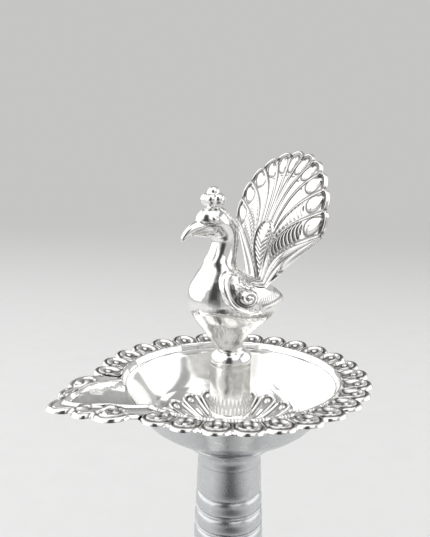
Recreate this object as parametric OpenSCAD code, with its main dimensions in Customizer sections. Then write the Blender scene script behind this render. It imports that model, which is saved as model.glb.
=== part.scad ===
// Standing oil lamp with a peacock finial. A footed stem carries a shallow pan with one wick spout,
// and a post in the middle of the pan carries the bird. Foot, stem, post and bird screw together.
// Millimetres, +Z up, origin at the middle of the underside, spout towards -Y.

/* [Foot] */
// Radius of the foot's scalloped edge
foot_lip_r = 38.5; // [36:0.5:42]
// Width of the foot's scalloped border
foot_border_w = 9; // [8:0.5:10]
// How far the plate that closes the foot underneath stays inside the scalloped edge
plate_inset = 5.5; // [4.5:0.5:7]
// Thickness of that plate
base_plate_t = 1.2; // [0.8:0.1:2]
// Height of the foot shell
foot_h = 27; // [25:0.5:34]
// Wall of the foot shell
foot_wall = 1.4; // [1:0.1:2]
// Height of the shoulder between dome and neck
foot_shoulder_h = 13; // [11:0.5:15]
// Radius of the neck at the top of the foot
foot_neck_r = 10.5; // [10.2:0.1:12]
// Room from the iron weight in the foot to the dome's edge
weight_gap = 9.5; // [8.5:0.5:13]
// Height of the iron weight
weight_h = 7; // [4:0.5:7.5]
// Scallops round the foot
foot_cells = 27; // [20:1:32]

/* [Stem] */
// Length of the lower stem
stem_lower_h = 36; // [30:1:60]
// Radius of the lower stem at its waist
stem_waist_r = 8.6; // [8.2:0.1:9.4]
// Height of the knop in the middle of the stem
knop_h = 11; // [8:0.5:14]
// Radius of the knop
knop_r = 14.5; // [12.5:0.5:18]
// Turned rings on the upper stem
ring_count = 4; // [2:1:6]
// Height of one turned ring
ring_h = 5.6; // [4.5:0.1:6.5]
// Radius of the lowest ring
ring_r = 10.8; // [10.2:0.1:11.5]
// Length of the plain part above the rings
stem_plain_h = 11; // [8:0.5:16]
// Radius at the top of the upper stem
stem_top_r = 9.1; // [8.6:0.1:9.6]
// Bore through the stem
stem_bore_r = 6.5; // [6.2:0.1:7]
// Height of the flared collar under the pan
collar_h = 12; // [10:0.1:16]
// Radius of the collar where it meets the pan
collar_r = 14; // [12.5:0.5:18]

/* [Pan] */
// Depth of the pan, outside, from the border's top
pan_depth = 13.6; // [13:0.1:17]
// Wall of the pan
pan_wall = 1.3; // [1:0.1:1.6]
// Radius of the pan's mouth
pan_mouth_r = 30; // [29:0.2:31]
// Radius of the pan's flat floor, outside
pan_floor_r = 21.8; // [21:0.1:22.4]
// Thickness of the scalloped border at its edge
border_t = 1; // [0.8:0.1:1.4]
// Height of the raised ovals above the border's edge
cell_rise = 0.5; // [0.4:0.1:0.9]
// Radius of the scalloped edge
lip_r = 39.8; // [39:0.2:41]
// Scallops that a full turn would hold
rim_cells = 29; // [29:1:29]
// Scallops whose place the spout takes
spout_cells = 4; // [4:1:4]
// Depth of the wick channel below the border's top
channel_depth = 3.8; // [3:0.1:4.5]
// Radius of the lotus plate on the pan's floor
lotus_r = 20.5; // [16:0.5:20.5]
// Thickness of the lotus plate
lotus_t = 0.8; // [0.6:0.1:1]
// Petals on the lotus plate
lotus_petals = 22; // [16:1:24]
// Turn of the lotus plate, degrees
lotus_turn = 5.8; // [0:0.2:16]

/* [Post] */
// Radius of the post
post_r = 6; // [5.6:0.1:6.6]
// Length of the post
post_h = 15.4; // [14.9:0.1:24]

/* [Screws] */
// Thread radius of the stud between foot and stem
stem_stud_r = 4.9; // [4.5:0.1:5]
// Thread radius of the stud between stem and post
post_stud_r = 3.9; // [3.5:0.1:4]
// Thread radius of the stud between post and bird
bird_stud_r = 2.4; // [2:0.1:2.4]
// Pitch of the thread on the stem stud
stem_pitch = 1.5; // [1.25:0.25:1.5]
// Pitch of the thread on the post stud
post_pitch = 1.25; // [1:0.25:1.25]
// Pitch of the thread on the bird stud
bird_pitch = 0.8; // [0.7:0.1:0.9]
// Radial clearance of a stud in its bore
thread_gap = 0.06; // [0.04:0.01:0.1]
// Gap between pieces that are soldered or brazed together
solder_gap = 0.1; // [0.05:0.05:0.15]

/* [Peacock] */
// Height of the bird's pedestal
pedestal_h = 5.3; // [4.5:0.1:6]
// Turn of the bird from the spout, degrees
bird_turn = 6.4; // [-20:0.2:20]
// Rise of the wings above the flanks
wing_t = 1; // [0.7:0.1:1.4]
// Thickness of the tail fan
fan_t = 1.5; // [1.2:0.1:2]
// Lean of the tail fan, degrees
fan_lean = 20; // [14:1:24]
// Feathers in the fan
fan_feathers = 13; // [13:2:13]
// Radius of the fan at its middle feather
fan_r = 48.2; // [44:0.2:52]

/* [Hidden] */
$fn = 96;

// Heights of the seats, from the table up
foot_z = base_plate_t;
stem_z = foot_z + foot_h;
knop_z = stem_z + stem_lower_h;
rings_z = knop_z + knop_h;
stem_upper_h = ring_count * ring_h + stem_plain_h;
collar_z = rings_z + stem_upper_h;
pan_z = collar_z + collar_h;
rim_z = pan_z + pan_depth;
flange_z = rim_z - cell_rise - border_t;
lotus_z = pan_z + pan_wall;
post_z = lotus_z + lotus_t;
pedestal_z = post_z + post_h;
bird_z = pedestal_z + pedestal_h;

// Screws: how far each stud reaches below and above its seat, and the room left past its end
stem_stud_low = 11;
stem_stud_high = 12;
post_stud_low = 10;
post_stud_high = 8;
bird_stud_low = 5.5;
bird_stud_high = 3.9;
end_room = 0.5;
stud_hole_gap = 0.4;
bush_h = 16;
boss_r = 7.4;
boss_h = 14;
boss_flange_r = 8.6;
boss_flange_t = 2;
screw_r = 1.5;
screw_head_r = 2.8;
screw_ring_r = 14;
screw_len = 6;

// How far a cut runs past the face that it opens
cut_past = 1;

// Ring of petals round the post's foot: height, wall at its foot and top, and its gap to the post
lotus_hub_h = 3;
lotus_hub_wall = 2.4;
lotus_hub_lip = 1.2;
hub_gap = 0.3;

// Scallops: share of their room that they fill, and how far each arc sweeps to either side, degrees
scallop_fill = 0.92;
scallop_sweep = 72;

// Raised ovals: half width, and the border left bare at each end
oval_w = 2.7;
oval_margin = 1.2;

// Foot: flange, border, what follows its edge, and the guides of the shell's curve
foot_flange_t = 1.4;
foot_lip_reach = 2.5;
foot_border_t = 1.2;
foot_flange_r = foot_lip_r - foot_lip_reach;
foot_dome_r = foot_lip_r - foot_border_w;
base_plate_r = foot_lip_r - plate_inset;
weight_r = foot_dome_r - weight_gap;
dome_in = 8;
shoulder_out = 7;
neck_out = 2.6;
neck_rise = 2.4;
neck_sweep = 7;

// Turned stem: how far its beads and edges stand out
bead_bulge = 1.4;
head_bead_bulge = 1;
ring_bulge = 0.55;
foot_bead_h = 3.4;
head_bead_h = 2.6;
stem_inset = 0.2;
waist_inset = 0.4;
plain_taper = 0.7;
knop_step = 0.8;
knop_edge = 0.4;
knop_groove = 0.6;
knop_swell = 0.9;
collar_flare = 2;

// Pan: the border's reach past the flange, the round of the floor's corner, and the roll of the mouth
rim_reach = 4.5;
flange_r = lip_r - rim_reach;
flange_t = 1;
corner_out = 2.5;
corner_up = 2.2;
corner_mid = 1.6;
mouth_roll = 0.6;
mouth_roll_h = 1.6;
wall_roll = 0.5;
wall_roll_h = 1.4;

// Spout, measured outwards from the lamp's axis and sideways from the spout's middle line
channel_inner_a = 20;
channel_mouth_in = 1.5;
channel_mouth_a = pan_mouth_r - channel_mouth_in;
channel_mouth_w = 8.8;
channel_end_a = 47.3;
channel_guides = [[36, 0.4], [44, -3.2]];
channel_floor_half = [[20, 5], [38, 4], [42, 0]];
slice_t = 0.1;
trough_wall = 1.2;
spout_plate_half = [[30, 13], [40.5, 11.5], [45.5, 6.5], [49.5, 2]];
// Rounds of the spout's edge, each with its sweep in degrees
ear_centre = [38.8, 10.2];
ear_r = 5.8;
ear_sweep = [2, 112];
lobe_centre = [44.9, 6.4];
lobe_r = 3.6;
lobe_sweep = [-18, 84];
tip_centre = [47.6, -1.2];
tip_r = 5.8;
tip_sweep = [13, 76];

// Pedestal: its rim, and how far its neck stands past the bird's foot
pedestal_edge = 0.1;
pedestal_edge_h = 0.5;
pedestal_step = 0.2;
pedestal_round = 0.4;
pedestal_neck_gap = 0.2;
pedestal_flare = 0.7;

// Wings: how far from the bird's middle their cutting prism starts and ends, and their outline's guides
wing_inner = 3;
wing_outer = 14;
wing_tip = [-4.2, 10.8];
wing_under = [[-0.6, 10.4], [7.8, 10.6], [8.6, 17.4]];
wing_shoulder = [[8.7, 18.2], [8.8, 23.6], [3.8, 24.6], [0.6, 21.8]];
wing_rear = [[0.2, 21.4], [-1.6, 19.2], [-2.6, 15]];

// Tail fan: the foot of its feathers lies inside the body
fan_back = 6.6;
fan_foot_h = 8.4;
fan_drop = 14.84;
feather_notch = 2.2;
lobe_round = 0.96;
fan_samples = 6;
fan_rows = 9;
fan_root_r = 7;
fan_cup = 4.5;
// Half spread of the fan in degrees: in its middle, what its tips add and what its roots add
fan_spread = 35.2;
fan_tip_spread = 1.6;
fan_root_spread = 12;
fan_root_power = 10;

// Bird: stations from the pedestal up, each [height, middle, reach forward, reach back, half width]
body_rows = [
    [0, 0.5, 3.4, 3.4, 3.4],
    [1.8, 0.8, 5.2, 4.4, 4.5],
    [3.8, 1, 6.6, 6.2, 5.9],
    [5.8, 1.2, 7.9, 10, 7.2],
    [8.3, 1.2, 10, 14.7, 8.5],
    [11.5, 1.2, 11.9, 18.4, 9.4],
    [13.8, 1.2, 12.4, 17, 9.6],
    [16.3, 1.2, 12.2, 13.8, 9.3],
    [18.8, 2, 10.5, 9.4, 8.4],
    [21.3, 3.4, 7.3, 6.4, 6.7],
    [23.4, 4.2, 5, 4.3, 5.2],
    [25.3, 4.4, 4.3, 4.3, 4.3],
    [27.3, 3.6, 3.75, 3.75, 3.75],
    [29.8, 2.95, 3.5, 3.5, 3.5],
    [31.8, 3.2, 3.6, 3.7, 3.5],
    [33.8, 4.3, 4.7, 4.7, 3.9],
    [35.8, 5.3, 5.4, 4.7, 4.1],
    [37.5, 6.2, 4.9, 4.3, 3.7],
    [38.7, 6.6, 3, 3, 2.7],
    [39.3, 6.6, 2, 2, 1.9]];
body_steps = 3;
body_sides = 28;
head_top_h = body_rows[len(body_rows) - 1][0];
head_top_s = body_rows[len(body_rows) - 1][1];
// Beak stations, each [forward, height, half height, half width]
beak_rows = [
    [7.6, 34.9, 3.2, 2.8],
    [10.4, 35, 2.6, 2.2],
    [12.2, 34.5, 1.8, 1.5],
    [13.8, 33.4, 1.1, 1],
    [15.2, 32.5, 0.6, 0.6],
    [16.3, 31.5, 0.2, 0.2]];
beak_sides = 12;
crest_neck_h = 1.6;
crest_neck_r = 1.9;
crest_neck_top_r = 1.3;
crest_knob_r = 1.6;
crest_ring_r = 1.45;
crest_ring_h = 2.2;
crest_top_h = 4.2;
crest_knobs = 5;

// Silver and the metals under it
silver = [0.88, 0.88, 0.87];
satin = [0.74, 0.74, 0.73];
brass = [0.78, 0.62, 0.32];
iron = [0.3, 0.3, 0.31];

// Points on a cubic curve through its four guide points
function curve(p, n) = [for (i = [0:n]) let (t = i / n, u = 1 - t)
    u * u * u * p[0] + 3 * u * u * t * p[1] + 3 * u * t * t * p[2] + t * t * t * p[3]];

// Points on an arc
function arc(centre, r, from, to, n) = [for (i = [0:n]) let (a = from + (to - from) * i / n)
    centre + r * [cos(a), sin(a)]];

function reversed(list) = [for (i = [len(list) - 1:-1:0]) list[i]];
function mirrored(list) = reversed([for (p = list) [-p[0], p[1]]]);
// A point of the spout, from its distance along and to the side
function at_spout(p) = [p[1], -p[0]];

// The line moved sideways by d, to its left
function moved(line, d) = [for (i = [0:len(line) - 1]) let (
        before = line[max(i - 1, 0)],
        after = line[min(i + 1, len(line) - 1)],
        run = after - before)
    line[i] + d * [-run[1], run[0]] / norm(run)];

// A rounded bead on a turned profile, from height z to z + h
function bead(r, z, h, bulge) = [for (i = [0:8]) let (a = -90 + 180 * i / 8)
    [r + bulge * cos(a), z + h / 2 + h / 2 * sin(a)]];

// Smooth value between the stations of a list
function between(rows, x) = let (
        n = len(rows) - 1,
        k = min(floor(x), n - 1),
        t = x - k,
        p0 = rows[max(k - 1, 0)],
        p1 = rows[k],
        p2 = rows[k + 1],
        p3 = rows[min(k + 2, n)])
    p1 + 0.5 * t * ((p2 - p0) + t * ((2 * p0 - 5 * p1 + 4 * p2 - p3) + t * (3 * (p1 - p2) + p3 - p0)));

// Closed skin over a stack of rings with the same even number of points, ended by strips across them
module skin(rings) {
    n = len(rings[0]);
    last = len(rings) - 1;
    sides = [for (k = [0:last - 1]) for (i = [0:n - 1]) let (j = (i + 1) % n) each [
        [k * n + i, k * n + n + i, k * n + j],
        [k * n + j, k * n + n + i, k * n + n + j]]];
    cap = [for (i = [0:n / 2 - 2]) each [[i, i + 1, n - 1 - i], [i + 1, n - 2 - i, n - 1 - i]]];
    top_cap = [for (face = cap) [for (i = reversed(face)) last * n + i]];
    polyhedron([for (ring = rings) each ring], concat(sides, cap, top_cap));
}

module turned(profile) {
    rotate_extrude() polygon(profile);
}

module bored(r, z, h) {
    translate([0, 0, z]) cylinder(r = r, h = h);
}

// Threaded stud, its thread drawn as rings of one pitch
module stud(r, pitch, low, high) {
    flank = 0.4;
    depth = pitch * flank;
    turns = floor((low + high) / pitch);
    start = -low + (low + high - turns * pitch) / 2;
    crests = [for (i = [0:turns - 1]) each [
        [r - depth, start + i * pitch],
        [r, start + (i + flank) * pitch],
        [r, start + (i + 1 - flank) * pitch]]];
    turned(concat([[0, -low], [r - depth, -low]], crests,
        [[r - depth, start + turns * pitch], [r - depth, high], [0, high]]));
}

// Outline of one round scallop that points along angle a
function scallop(a, lip, half_turn) = let (
        r = scallop_fill * lip * sin(half_turn),
        middle = lip - r)
    arc(middle * [cos(a), sin(a)], r, a - scallop_sweep, a + scallop_sweep, 8);

// One oval of a border, lying along angle a between the border's inner and outer edge
function oval(a, inner, outer) = [for (i = [0:19]) let (
        t = i * 18,
        x = (inner + outer) / 2 + ((outer - inner) / 2 - oval_margin) * cos(t),
        y = oval_w * sin(t))
    [x * cos(a) - y * sin(a), x * sin(a) + y * cos(a)]];

// Foot

foot_outer = concat(
    curve([[foot_dome_r, foot_flange_t], [foot_dome_r, foot_shoulder_h * 0.72],
        [foot_dome_r - dome_in, foot_shoulder_h * 0.84], [foot_neck_r + shoulder_out, foot_shoulder_h]], 12),
    curve([[foot_neck_r + shoulder_out * 0.94, foot_shoulder_h + neck_rise * 0.08],
        [foot_neck_r + neck_out, foot_shoulder_h + neck_rise],
        [foot_neck_r + neck_out * 0.3, foot_h - neck_sweep], [foot_neck_r, foot_h]], 12));
foot_inner = [for (p = moved(foot_outer, foot_wall)) [p[0], min(p[1], foot_h - foot_wall)]];

module base_plate() {
    color(satin) difference() {
        cylinder(r = base_plate_r, h = base_plate_t);
        for (a = [0:120:240]) rotate(a) translate([screw_ring_r, 0, 0]) screw_shape(solder_gap);
    }
}

// Countersunk screw from the underside, grown by a gap for its hole
module screw_shape(grow) {
    head_h = base_plate_t * 0.8;
    cylinder(r1 = screw_head_r + grow, r2 = screw_r + grow, h = head_h);
    cylinder(r = screw_r + grow, h = screw_len + grow);
}

module base_screws() {
    color(brass) for (a = [0:120:240]) rotate(a) translate([screw_ring_r, 0, 0]) screw_shape(0);
}

module base_weight() {
    color(iron) difference() {
        bored(weight_r, foot_z, weight_h);
        bored(boss_r, foot_z - cut_past, weight_h + 2 * cut_past);
        for (a = [0:120:240]) rotate(a) translate([screw_ring_r, 0, 0])
            cylinder(r = screw_r + solder_gap, h = screw_len + end_room);
    }
}

module foot() {
    color(silver) translate([0, 0, foot_z]) difference() {
        turned(concat([[foot_dome_r - foot_wall, 0], [foot_flange_r, 0], [foot_flange_r, foot_flange_t]],
            foot_outer, [[boss_r, foot_h], [boss_r, foot_h - foot_wall]], reversed(foot_inner)));
        bored(boss_r + solder_gap, foot_h - foot_wall - cut_past, foot_wall + 2 * cut_past);
    }
}

module foot_border() {
    border_z = foot_z + foot_flange_t;
    pitch = 360 / foot_cells;
    color(silver) translate([0, 0, border_z]) {
        linear_extrude(foot_border_t) difference() {
            polygon([for (k = [0:foot_cells - 1]) each scallop(k * pitch, foot_lip_r, pitch / 2)]);
            circle(foot_dome_r + solder_gap);
        }
        linear_extrude(foot_border_t + cell_rise) for (k = [0:foot_cells - 1])
            polygon(oval(k * pitch, foot_dome_r, foot_lip_r));
    }
}

module foot_boss() {
    flange_h = foot_h - foot_wall - solder_gap - boss_flange_t;
    color(brass) translate([0, 0, foot_z]) difference() {
        turned([[0, foot_h - boss_h], [boss_r, foot_h - boss_h], [boss_r, flange_h],
            [boss_flange_r, flange_h], [boss_flange_r, flange_h + boss_flange_t],
            [boss_r, flange_h + boss_flange_t], [boss_r, foot_h], [0, foot_h]]);
        bored(stem_stud_r + thread_gap, 0, foot_h + cut_past);
    }
}

// Stem

module stem_stud() {
    color(brass) translate([0, 0, stem_z]) stud(stem_stud_r, stem_pitch, stem_stud_low, stem_stud_high);
}

module stem_foot_bush() {
    color(brass) translate([0, 0, stem_z]) difference() {
        cylinder(r = stem_bore_r - solder_gap, h = bush_h);
        bored(stem_stud_r + thread_gap, -cut_past, stem_stud_high + end_room + cut_past);
    }
}

module stem_lower() {
    edge_r = foot_neck_r - stem_inset;
    waist_r = stem_waist_r - waist_inset;
    waist = curve([[edge_r - stem_inset, foot_bead_h], [waist_r, stem_lower_h * 0.35],
        [waist_r, stem_lower_h * 0.7], [edge_r - 2 * stem_inset, stem_lower_h - head_bead_h]], 14);
    color(satin) translate([0, 0, stem_z]) turned(concat(
        [[stem_bore_r, 0]], bead(edge_r, 0, foot_bead_h, bead_bulge), waist,
        bead(edge_r, stem_lower_h - head_bead_h, head_bead_h, head_bead_bulge),
        [[stem_bore_r, stem_lower_h]]));
}

module stem_knop() {
    edge_r = ring_r + knop_edge;
    start = [edge_r - knop_groove, knop_step * 1.25];
    color(silver) translate([0, 0, knop_z]) turned(concat(
        [[stem_bore_r, 0], [edge_r, 0], [edge_r, knop_step]],
        curve([start, [knop_r + knop_swell, knop_h * 0.25], [knop_r + knop_swell, knop_h * 0.75],
            [start[0], knop_h - start[1]]], 14),
        [[edge_r, knop_h - knop_step], [edge_r, knop_h], [stem_bore_r, knop_h]]));
}

module stem_upper() {
    plain_r = stem_top_r + plain_taper;
    taper = (ring_r - plain_r) / ring_count;
    rings_h = ring_count * ring_h;
    color(satin) translate([0, 0, rings_z]) turned(concat(
        [[stem_bore_r, 0]],
        [for (k = [0:ring_count - 1]) each
            bead(ring_r - ring_bulge - k * taper, k * ring_h, ring_h, ring_bulge)],
        [[plain_r, rings_h], [stem_top_r, stem_upper_h], [stem_bore_r, stem_upper_h]]));
}

module stem_head_bush() {
    color(brass) translate([0, 0, collar_z - bush_h]) difference() {
        cylinder(r = stem_bore_r - solder_gap, h = bush_h);
        bored(post_stud_r + thread_gap, bush_h - post_stud_low - end_room, bush_h);
    }
}

module pan_collar() {
    color(satin) translate([0, 0, collar_z]) turned(concat(
        [[post_stud_r + stud_hole_gap, 0]],
        curve([[stem_top_r, 0], [stem_top_r + collar_flare * 0.1, collar_h * 0.14],
            [stem_top_r + collar_flare, collar_h * 0.16], [collar_r, collar_h * 0.75]], 12),
        [[collar_r, collar_h], [post_stud_r + stud_hole_gap, collar_h]]));
}

// Pan

// Half of the channel's outline, from the mouth to its end
function channel_half(grow) = let (w = channel_mouth_w + grow)
    curve([[channel_mouth_a, w], for (p = channel_guides) [p[0], w + p[1]], [channel_end_a + grow, 0]], 10);

module channel_shape(grow) {
    half = concat([[channel_inner_a, channel_mouth_w + grow]], channel_half(grow));
    side = [for (p = half) at_spout(p)];
    polygon(concat(side, mirrored(side)));
}

// The channel's floor is narrower than its top and climbs towards the tip
module channel_floor(grow) {
    side = [for (p = channel_floor_half) at_spout(p[1] > 0 ? [p[0], p[1] + grow] : [p[0] + grow, 0])];
    polygon(concat(side, mirrored(side)));
}

// Trough below the border's top, from the channel's outline down to its floor
module trough(grow, top, depth) {
    hull() {
        translate([0, 0, rim_z + top - slice_t]) linear_extrude(slice_t) channel_shape(grow);
        translate([0, 0, rim_z - depth]) linear_extrude(slice_t) channel_floor(grow);
    }
}

// The spout's scalloped edge, from the last scallop of the rim on one side to the other
spout_edge = let (
        tip = arc(tip_centre, tip_r, tip_sweep[0], tip_sweep[1], 6),
        lobe = arc(lobe_centre, lobe_r, lobe_sweep[0], lobe_sweep[1], 7),
        ear = arc(ear_centre, ear_r, ear_sweep[0], ear_sweep[1], 9),
        side = [for (p = concat(tip, lobe, ear)) at_spout(p)])
    concat(mirrored(side), side);

// Angles of the rim's scallops, which leave out the spout's place
rim_pitch = 360 / rim_cells;
rim_angles = [for (k = [0:rim_cells - spout_cells - 1]) -90 + ((spout_cells + 1) / 2 + k) * rim_pitch];

module pan_wall_shape() {
    wall_top = pan_depth - cell_rise - border_t;
    corner = curve([[pan_floor_r, 0], [pan_floor_r + corner_mid, 0],
        [pan_floor_r + corner_out * 0.8, corner_up * 0.4], [pan_floor_r + corner_out, corner_up]], 8);
    outer = concat([[0, 0]], corner, [[pan_mouth_r + pan_wall - wall_roll, wall_top - wall_roll_h],
        [pan_mouth_r + pan_wall, wall_top - flange_t]]);
    corner_in = [for (p = moved(corner, pan_wall)) [p[0], max(p[1], pan_wall)]];
    turned(concat(outer, [[flange_r, wall_top - flange_t], [flange_r, wall_top], [pan_mouth_r, wall_top],
        [pan_mouth_r - mouth_roll, wall_top - mouth_roll_h]], reversed(corner_in), [[0, pan_wall]]));
}

// Plate under the spout's ears and tip
module spout_plate() {
    plate = [for (p = spout_plate_half) at_spout(p)];
    translate([0, 0, flange_z - flange_t]) linear_extrude(flange_t)
        polygon(concat(plate, mirrored(plate)));
}

module oil_pan() {
    color(silver) difference() {
        union() {
            translate([0, 0, pan_z]) pan_wall_shape();
            spout_plate();
            difference() {
                trough(trough_wall, -cell_rise - border_t, channel_depth + trough_wall);
                translate([0, 0, pan_z]) cylinder(r = pan_mouth_r, h = pan_depth);
            }
        }
        trough(0, cut_past, channel_depth);
        bored(post_stud_r + stud_hole_gap, pan_z - cut_past, pan_wall + 2 * cut_past);
    }
}

module rim_border() {
    edge = concat([for (a = rim_angles) each scallop(a, lip_r, rim_pitch / 2)], spout_edge);
    color(silver) translate([0, 0, flange_z]) difference() {
        union() {
            linear_extrude(border_t) polygon(edge);
            linear_extrude(border_t + cell_rise) for (a = rim_angles) polygon(oval(a, pan_mouth_r, lip_r));
        }
        translate([0, 0, -cut_past]) linear_extrude(border_t + cell_rise + 2 * cut_past) {
            circle(pan_mouth_r);
            channel_shape(0);
        }
    }
}

module lotus_plate() {
    pitch = 360 / lotus_petals;
    hub_r = post_r + hub_gap;
    color(silver) translate([0, 0, lotus_z]) {
        linear_extrude(lotus_t) difference() {
            polygon([for (k = [0:lotus_petals - 1]) each
                scallop(lotus_turn + k * pitch, lotus_r, pitch / 2)]);
            circle(post_stud_r + stud_hole_gap);
        }
        turned([[hub_r, 0], [hub_r + lotus_hub_wall, 0], [hub_r + lotus_hub_lip, lotus_hub_h],
            [hub_r, lotus_hub_h]]);
    }
}

// Post

module post_stud() {
    through = post_z - collar_z;
    color(brass) translate([0, 0, collar_z])
        stud(post_stud_r, post_pitch, post_stud_low, through + post_stud_high);
}

module post() {
    color(silver) translate([0, 0, post_z]) difference() {
        cylinder(r = post_r, h = post_h);
        bored(post_stud_r + thread_gap, -cut_past, post_stud_high + end_room + cut_past);
        bored(bird_stud_r + thread_gap, post_h - bird_stud_low - end_room, post_h);
    }
}

// Peacock

module bird_stud() {
    color(brass) translate([0, 0, pedestal_z]) stud(bird_stud_r, bird_pitch, bird_stud_low, bird_stud_high);
}

module pedestal() {
    neck_r = body_rows[0][2] + pedestal_neck_gap;
    edge_r = post_r + pedestal_edge;
    color(silver) translate([0, 0, pedestal_z]) difference() {
        turned(concat([[0, 0], [edge_r, 0], [edge_r, pedestal_edge_h]],
            curve([[post_r, pedestal_edge_h + pedestal_step], [post_r - pedestal_round, pedestal_h * 0.55],
                [neck_r + pedestal_flare, pedestal_h * 0.7], [neck_r, pedestal_h]], 10),
            [[0, pedestal_h]]));
        bored(bird_stud_r + thread_gap, -cut_past, bird_stud_high + end_room / 2 + cut_past);
    }
}

// The bird's own frame: it faces -Y and stands on its pedestal
module bird_frame() {
    translate([0, 0, bird_z]) rotate(bird_turn) children();
}

// One ring of the body, rounder in front than behind
function body_ring(x, grow) = let (row = between(body_rows, x))
    [for (i = [0:body_sides - 1]) let (a = i * 360 / body_sides, reach = cos(a) > 0 ? row[2] : row[3])
        [(row[4] + grow) * sin(a), -row[1] - (reach + grow) * cos(a), row[0]]];

module body_skin(grow) {
    count = (len(body_rows) - 1) * body_steps;
    skin([for (k = [0:count]) body_ring(k / body_steps, grow)]);
}

module beak_skin() {
    skin([for (row = beak_rows) [for (i = [0:beak_sides - 1]) let (a = i * 360 / beak_sides)
        [-row[3] * sin(a), -row[0], row[1] + row[2] * cos(a)]]]);
}

module peacock_body() {
    color(silver) bird_frame() resize([0, 0, 0]) union() {
        body_skin(0);
        beak_skin();
    }
}

module crest() {
    color(silver) bird_frame() translate([0, -head_top_s, head_top_h]) {
        cylinder(r1 = crest_neck_r, r2 = crest_neck_top_r, h = crest_neck_h);
        for (k = [0:crest_knobs - 1]) rotate(90 + k * 360 / crest_knobs)
            translate([crest_ring_r, 0, crest_ring_h]) sphere(crest_knob_r);
        translate([0, 0, crest_top_h]) sphere(crest_knob_r);
    }
}

// Wing outline on the flank, forward and up: round at the shoulder, pointed at the rear
wing_outline = concat(curve(concat([wing_tip], wing_under), 10), curve(wing_shoulder, 8),
    curve(concat(wing_rear, [wing_tip]), 7));

module wing(side) {
    bird_frame() resize([0, 0, 0]) difference() {
        intersection() {
            rotate([90, 0, -90]) translate([0, 0, side > 0 ? -wing_outer : wing_inner])
                linear_extrude(wing_outer - wing_inner) polygon(wing_outline);
            body_skin(wing_t);
        }
        body_skin(solder_gap);
    }
}

module wing_left() {
    color(silver) wing(1);
}

module wing_right() {
    color(silver) wing(-1);
}

// Fan: across runs from -1 to 1, t from root to tip; the sides curl forward round the back
function feather_end(across) = let (
        lobe = across * fan_feathers / 2,
        off = 2 * (lobe - round(lobe)))
    fan_r - fan_drop * across * across - feather_notch * (1 - sqrt(1 - off * off * lobe_round));

function fan_point(across, t, depth) = let (
        spread = fan_spread + fan_tip_spread * t * t + fan_root_spread * pow(1 - t, fan_root_power),
        a = across * spread,
        r = fan_root_r + t * (feather_end(across) - fan_root_r),
        curl = fan_cup * pow(1 - t, 2) * across * across)
    [r * sin(a), -depth - curl, r * cos(a)];

module tail_fan() {
    count = fan_feathers * fan_samples;
    rings = [for (k = [0:count]) let (across = 2 * k / count - 1) concat(
        [for (i = [0:fan_rows]) fan_point(across, i / fan_rows, -fan_t / 2)],
        [for (i = [fan_rows:-1:0]) fan_point(across, i / fan_rows, fan_t / 2)])];
    color(silver) bird_frame() resize([0, 0, 0]) difference() {
        translate([0, fan_back, fan_foot_h]) rotate([-fan_lean, 0, 0]) skin(rings);
        body_skin(solder_gap);
    }
}

base_plate();
base_screws();
base_weight();
foot();
foot_border();
foot_boss();
stem_stud();
stem_foot_bush();
stem_lower();
stem_knop();
stem_upper();
stem_head_bush();
pan_collar();
oil_pan();
rim_border();
lotus_plate();
post_stud();
post();
bird_stud();
pedestal();
peacock_body();
crest();
wing_left();
wing_right();
tail_fan();
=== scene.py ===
"""Standing oil lamp in polished silver: a scalloped foot, a turned stem, a pan with one wick spout and a
peacock on a post. Sizes in the sections are millimetres, and each mesh is brought to metres at its end."""
import math

import bmesh
import bpy
from mathutils import Matrix, Vector, noise


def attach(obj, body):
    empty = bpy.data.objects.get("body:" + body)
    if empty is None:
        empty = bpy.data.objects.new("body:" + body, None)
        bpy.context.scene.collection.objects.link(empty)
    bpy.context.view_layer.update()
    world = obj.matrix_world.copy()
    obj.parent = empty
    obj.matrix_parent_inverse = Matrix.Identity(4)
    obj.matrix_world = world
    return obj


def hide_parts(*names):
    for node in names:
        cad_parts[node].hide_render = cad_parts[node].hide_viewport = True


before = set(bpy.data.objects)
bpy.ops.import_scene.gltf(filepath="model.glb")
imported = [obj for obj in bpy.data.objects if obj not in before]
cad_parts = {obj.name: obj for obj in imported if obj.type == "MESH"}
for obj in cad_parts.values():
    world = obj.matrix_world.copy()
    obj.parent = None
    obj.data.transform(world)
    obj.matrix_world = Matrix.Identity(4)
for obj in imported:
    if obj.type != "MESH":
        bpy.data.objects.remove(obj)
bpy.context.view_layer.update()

# Stage: a pale paper sweep that curves up all round, so the lamp stands on one plain surface. Far from the lamp the
# paper shows one even tone. Large soft boxes stand above, to the left and to the right. One dark card beside the
# camera and one on the table, which only the metal's reflections see, give it its dark stripes.
SWEEP = [(0.0, 0.0), (1.7, 0.0), (2.1, 0.04), (2.45, 0.16), (2.7, 0.4), (2.84, 0.75), (2.88, 1.5)]
FLOOR_END = 0.35
BACKDROP_FROM = 1.5
BACKDROP_TONE = (0.56, 0.56, 0.555, 1)


def blank_material(name):
    """A material with one Principled shader, its nodes and its links."""
    material = bpy.data.materials.new(name)
    material.use_nodes = True
    tree = material.node_tree
    tree.nodes.clear()
    out = tree.nodes.new("ShaderNodeOutputMaterial")
    shader = tree.nodes.new("ShaderNodeBsdfPrincipled")
    tree.links.new(shader.outputs["BSDF"], out.inputs["Surface"])
    return material, tree, shader


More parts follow.
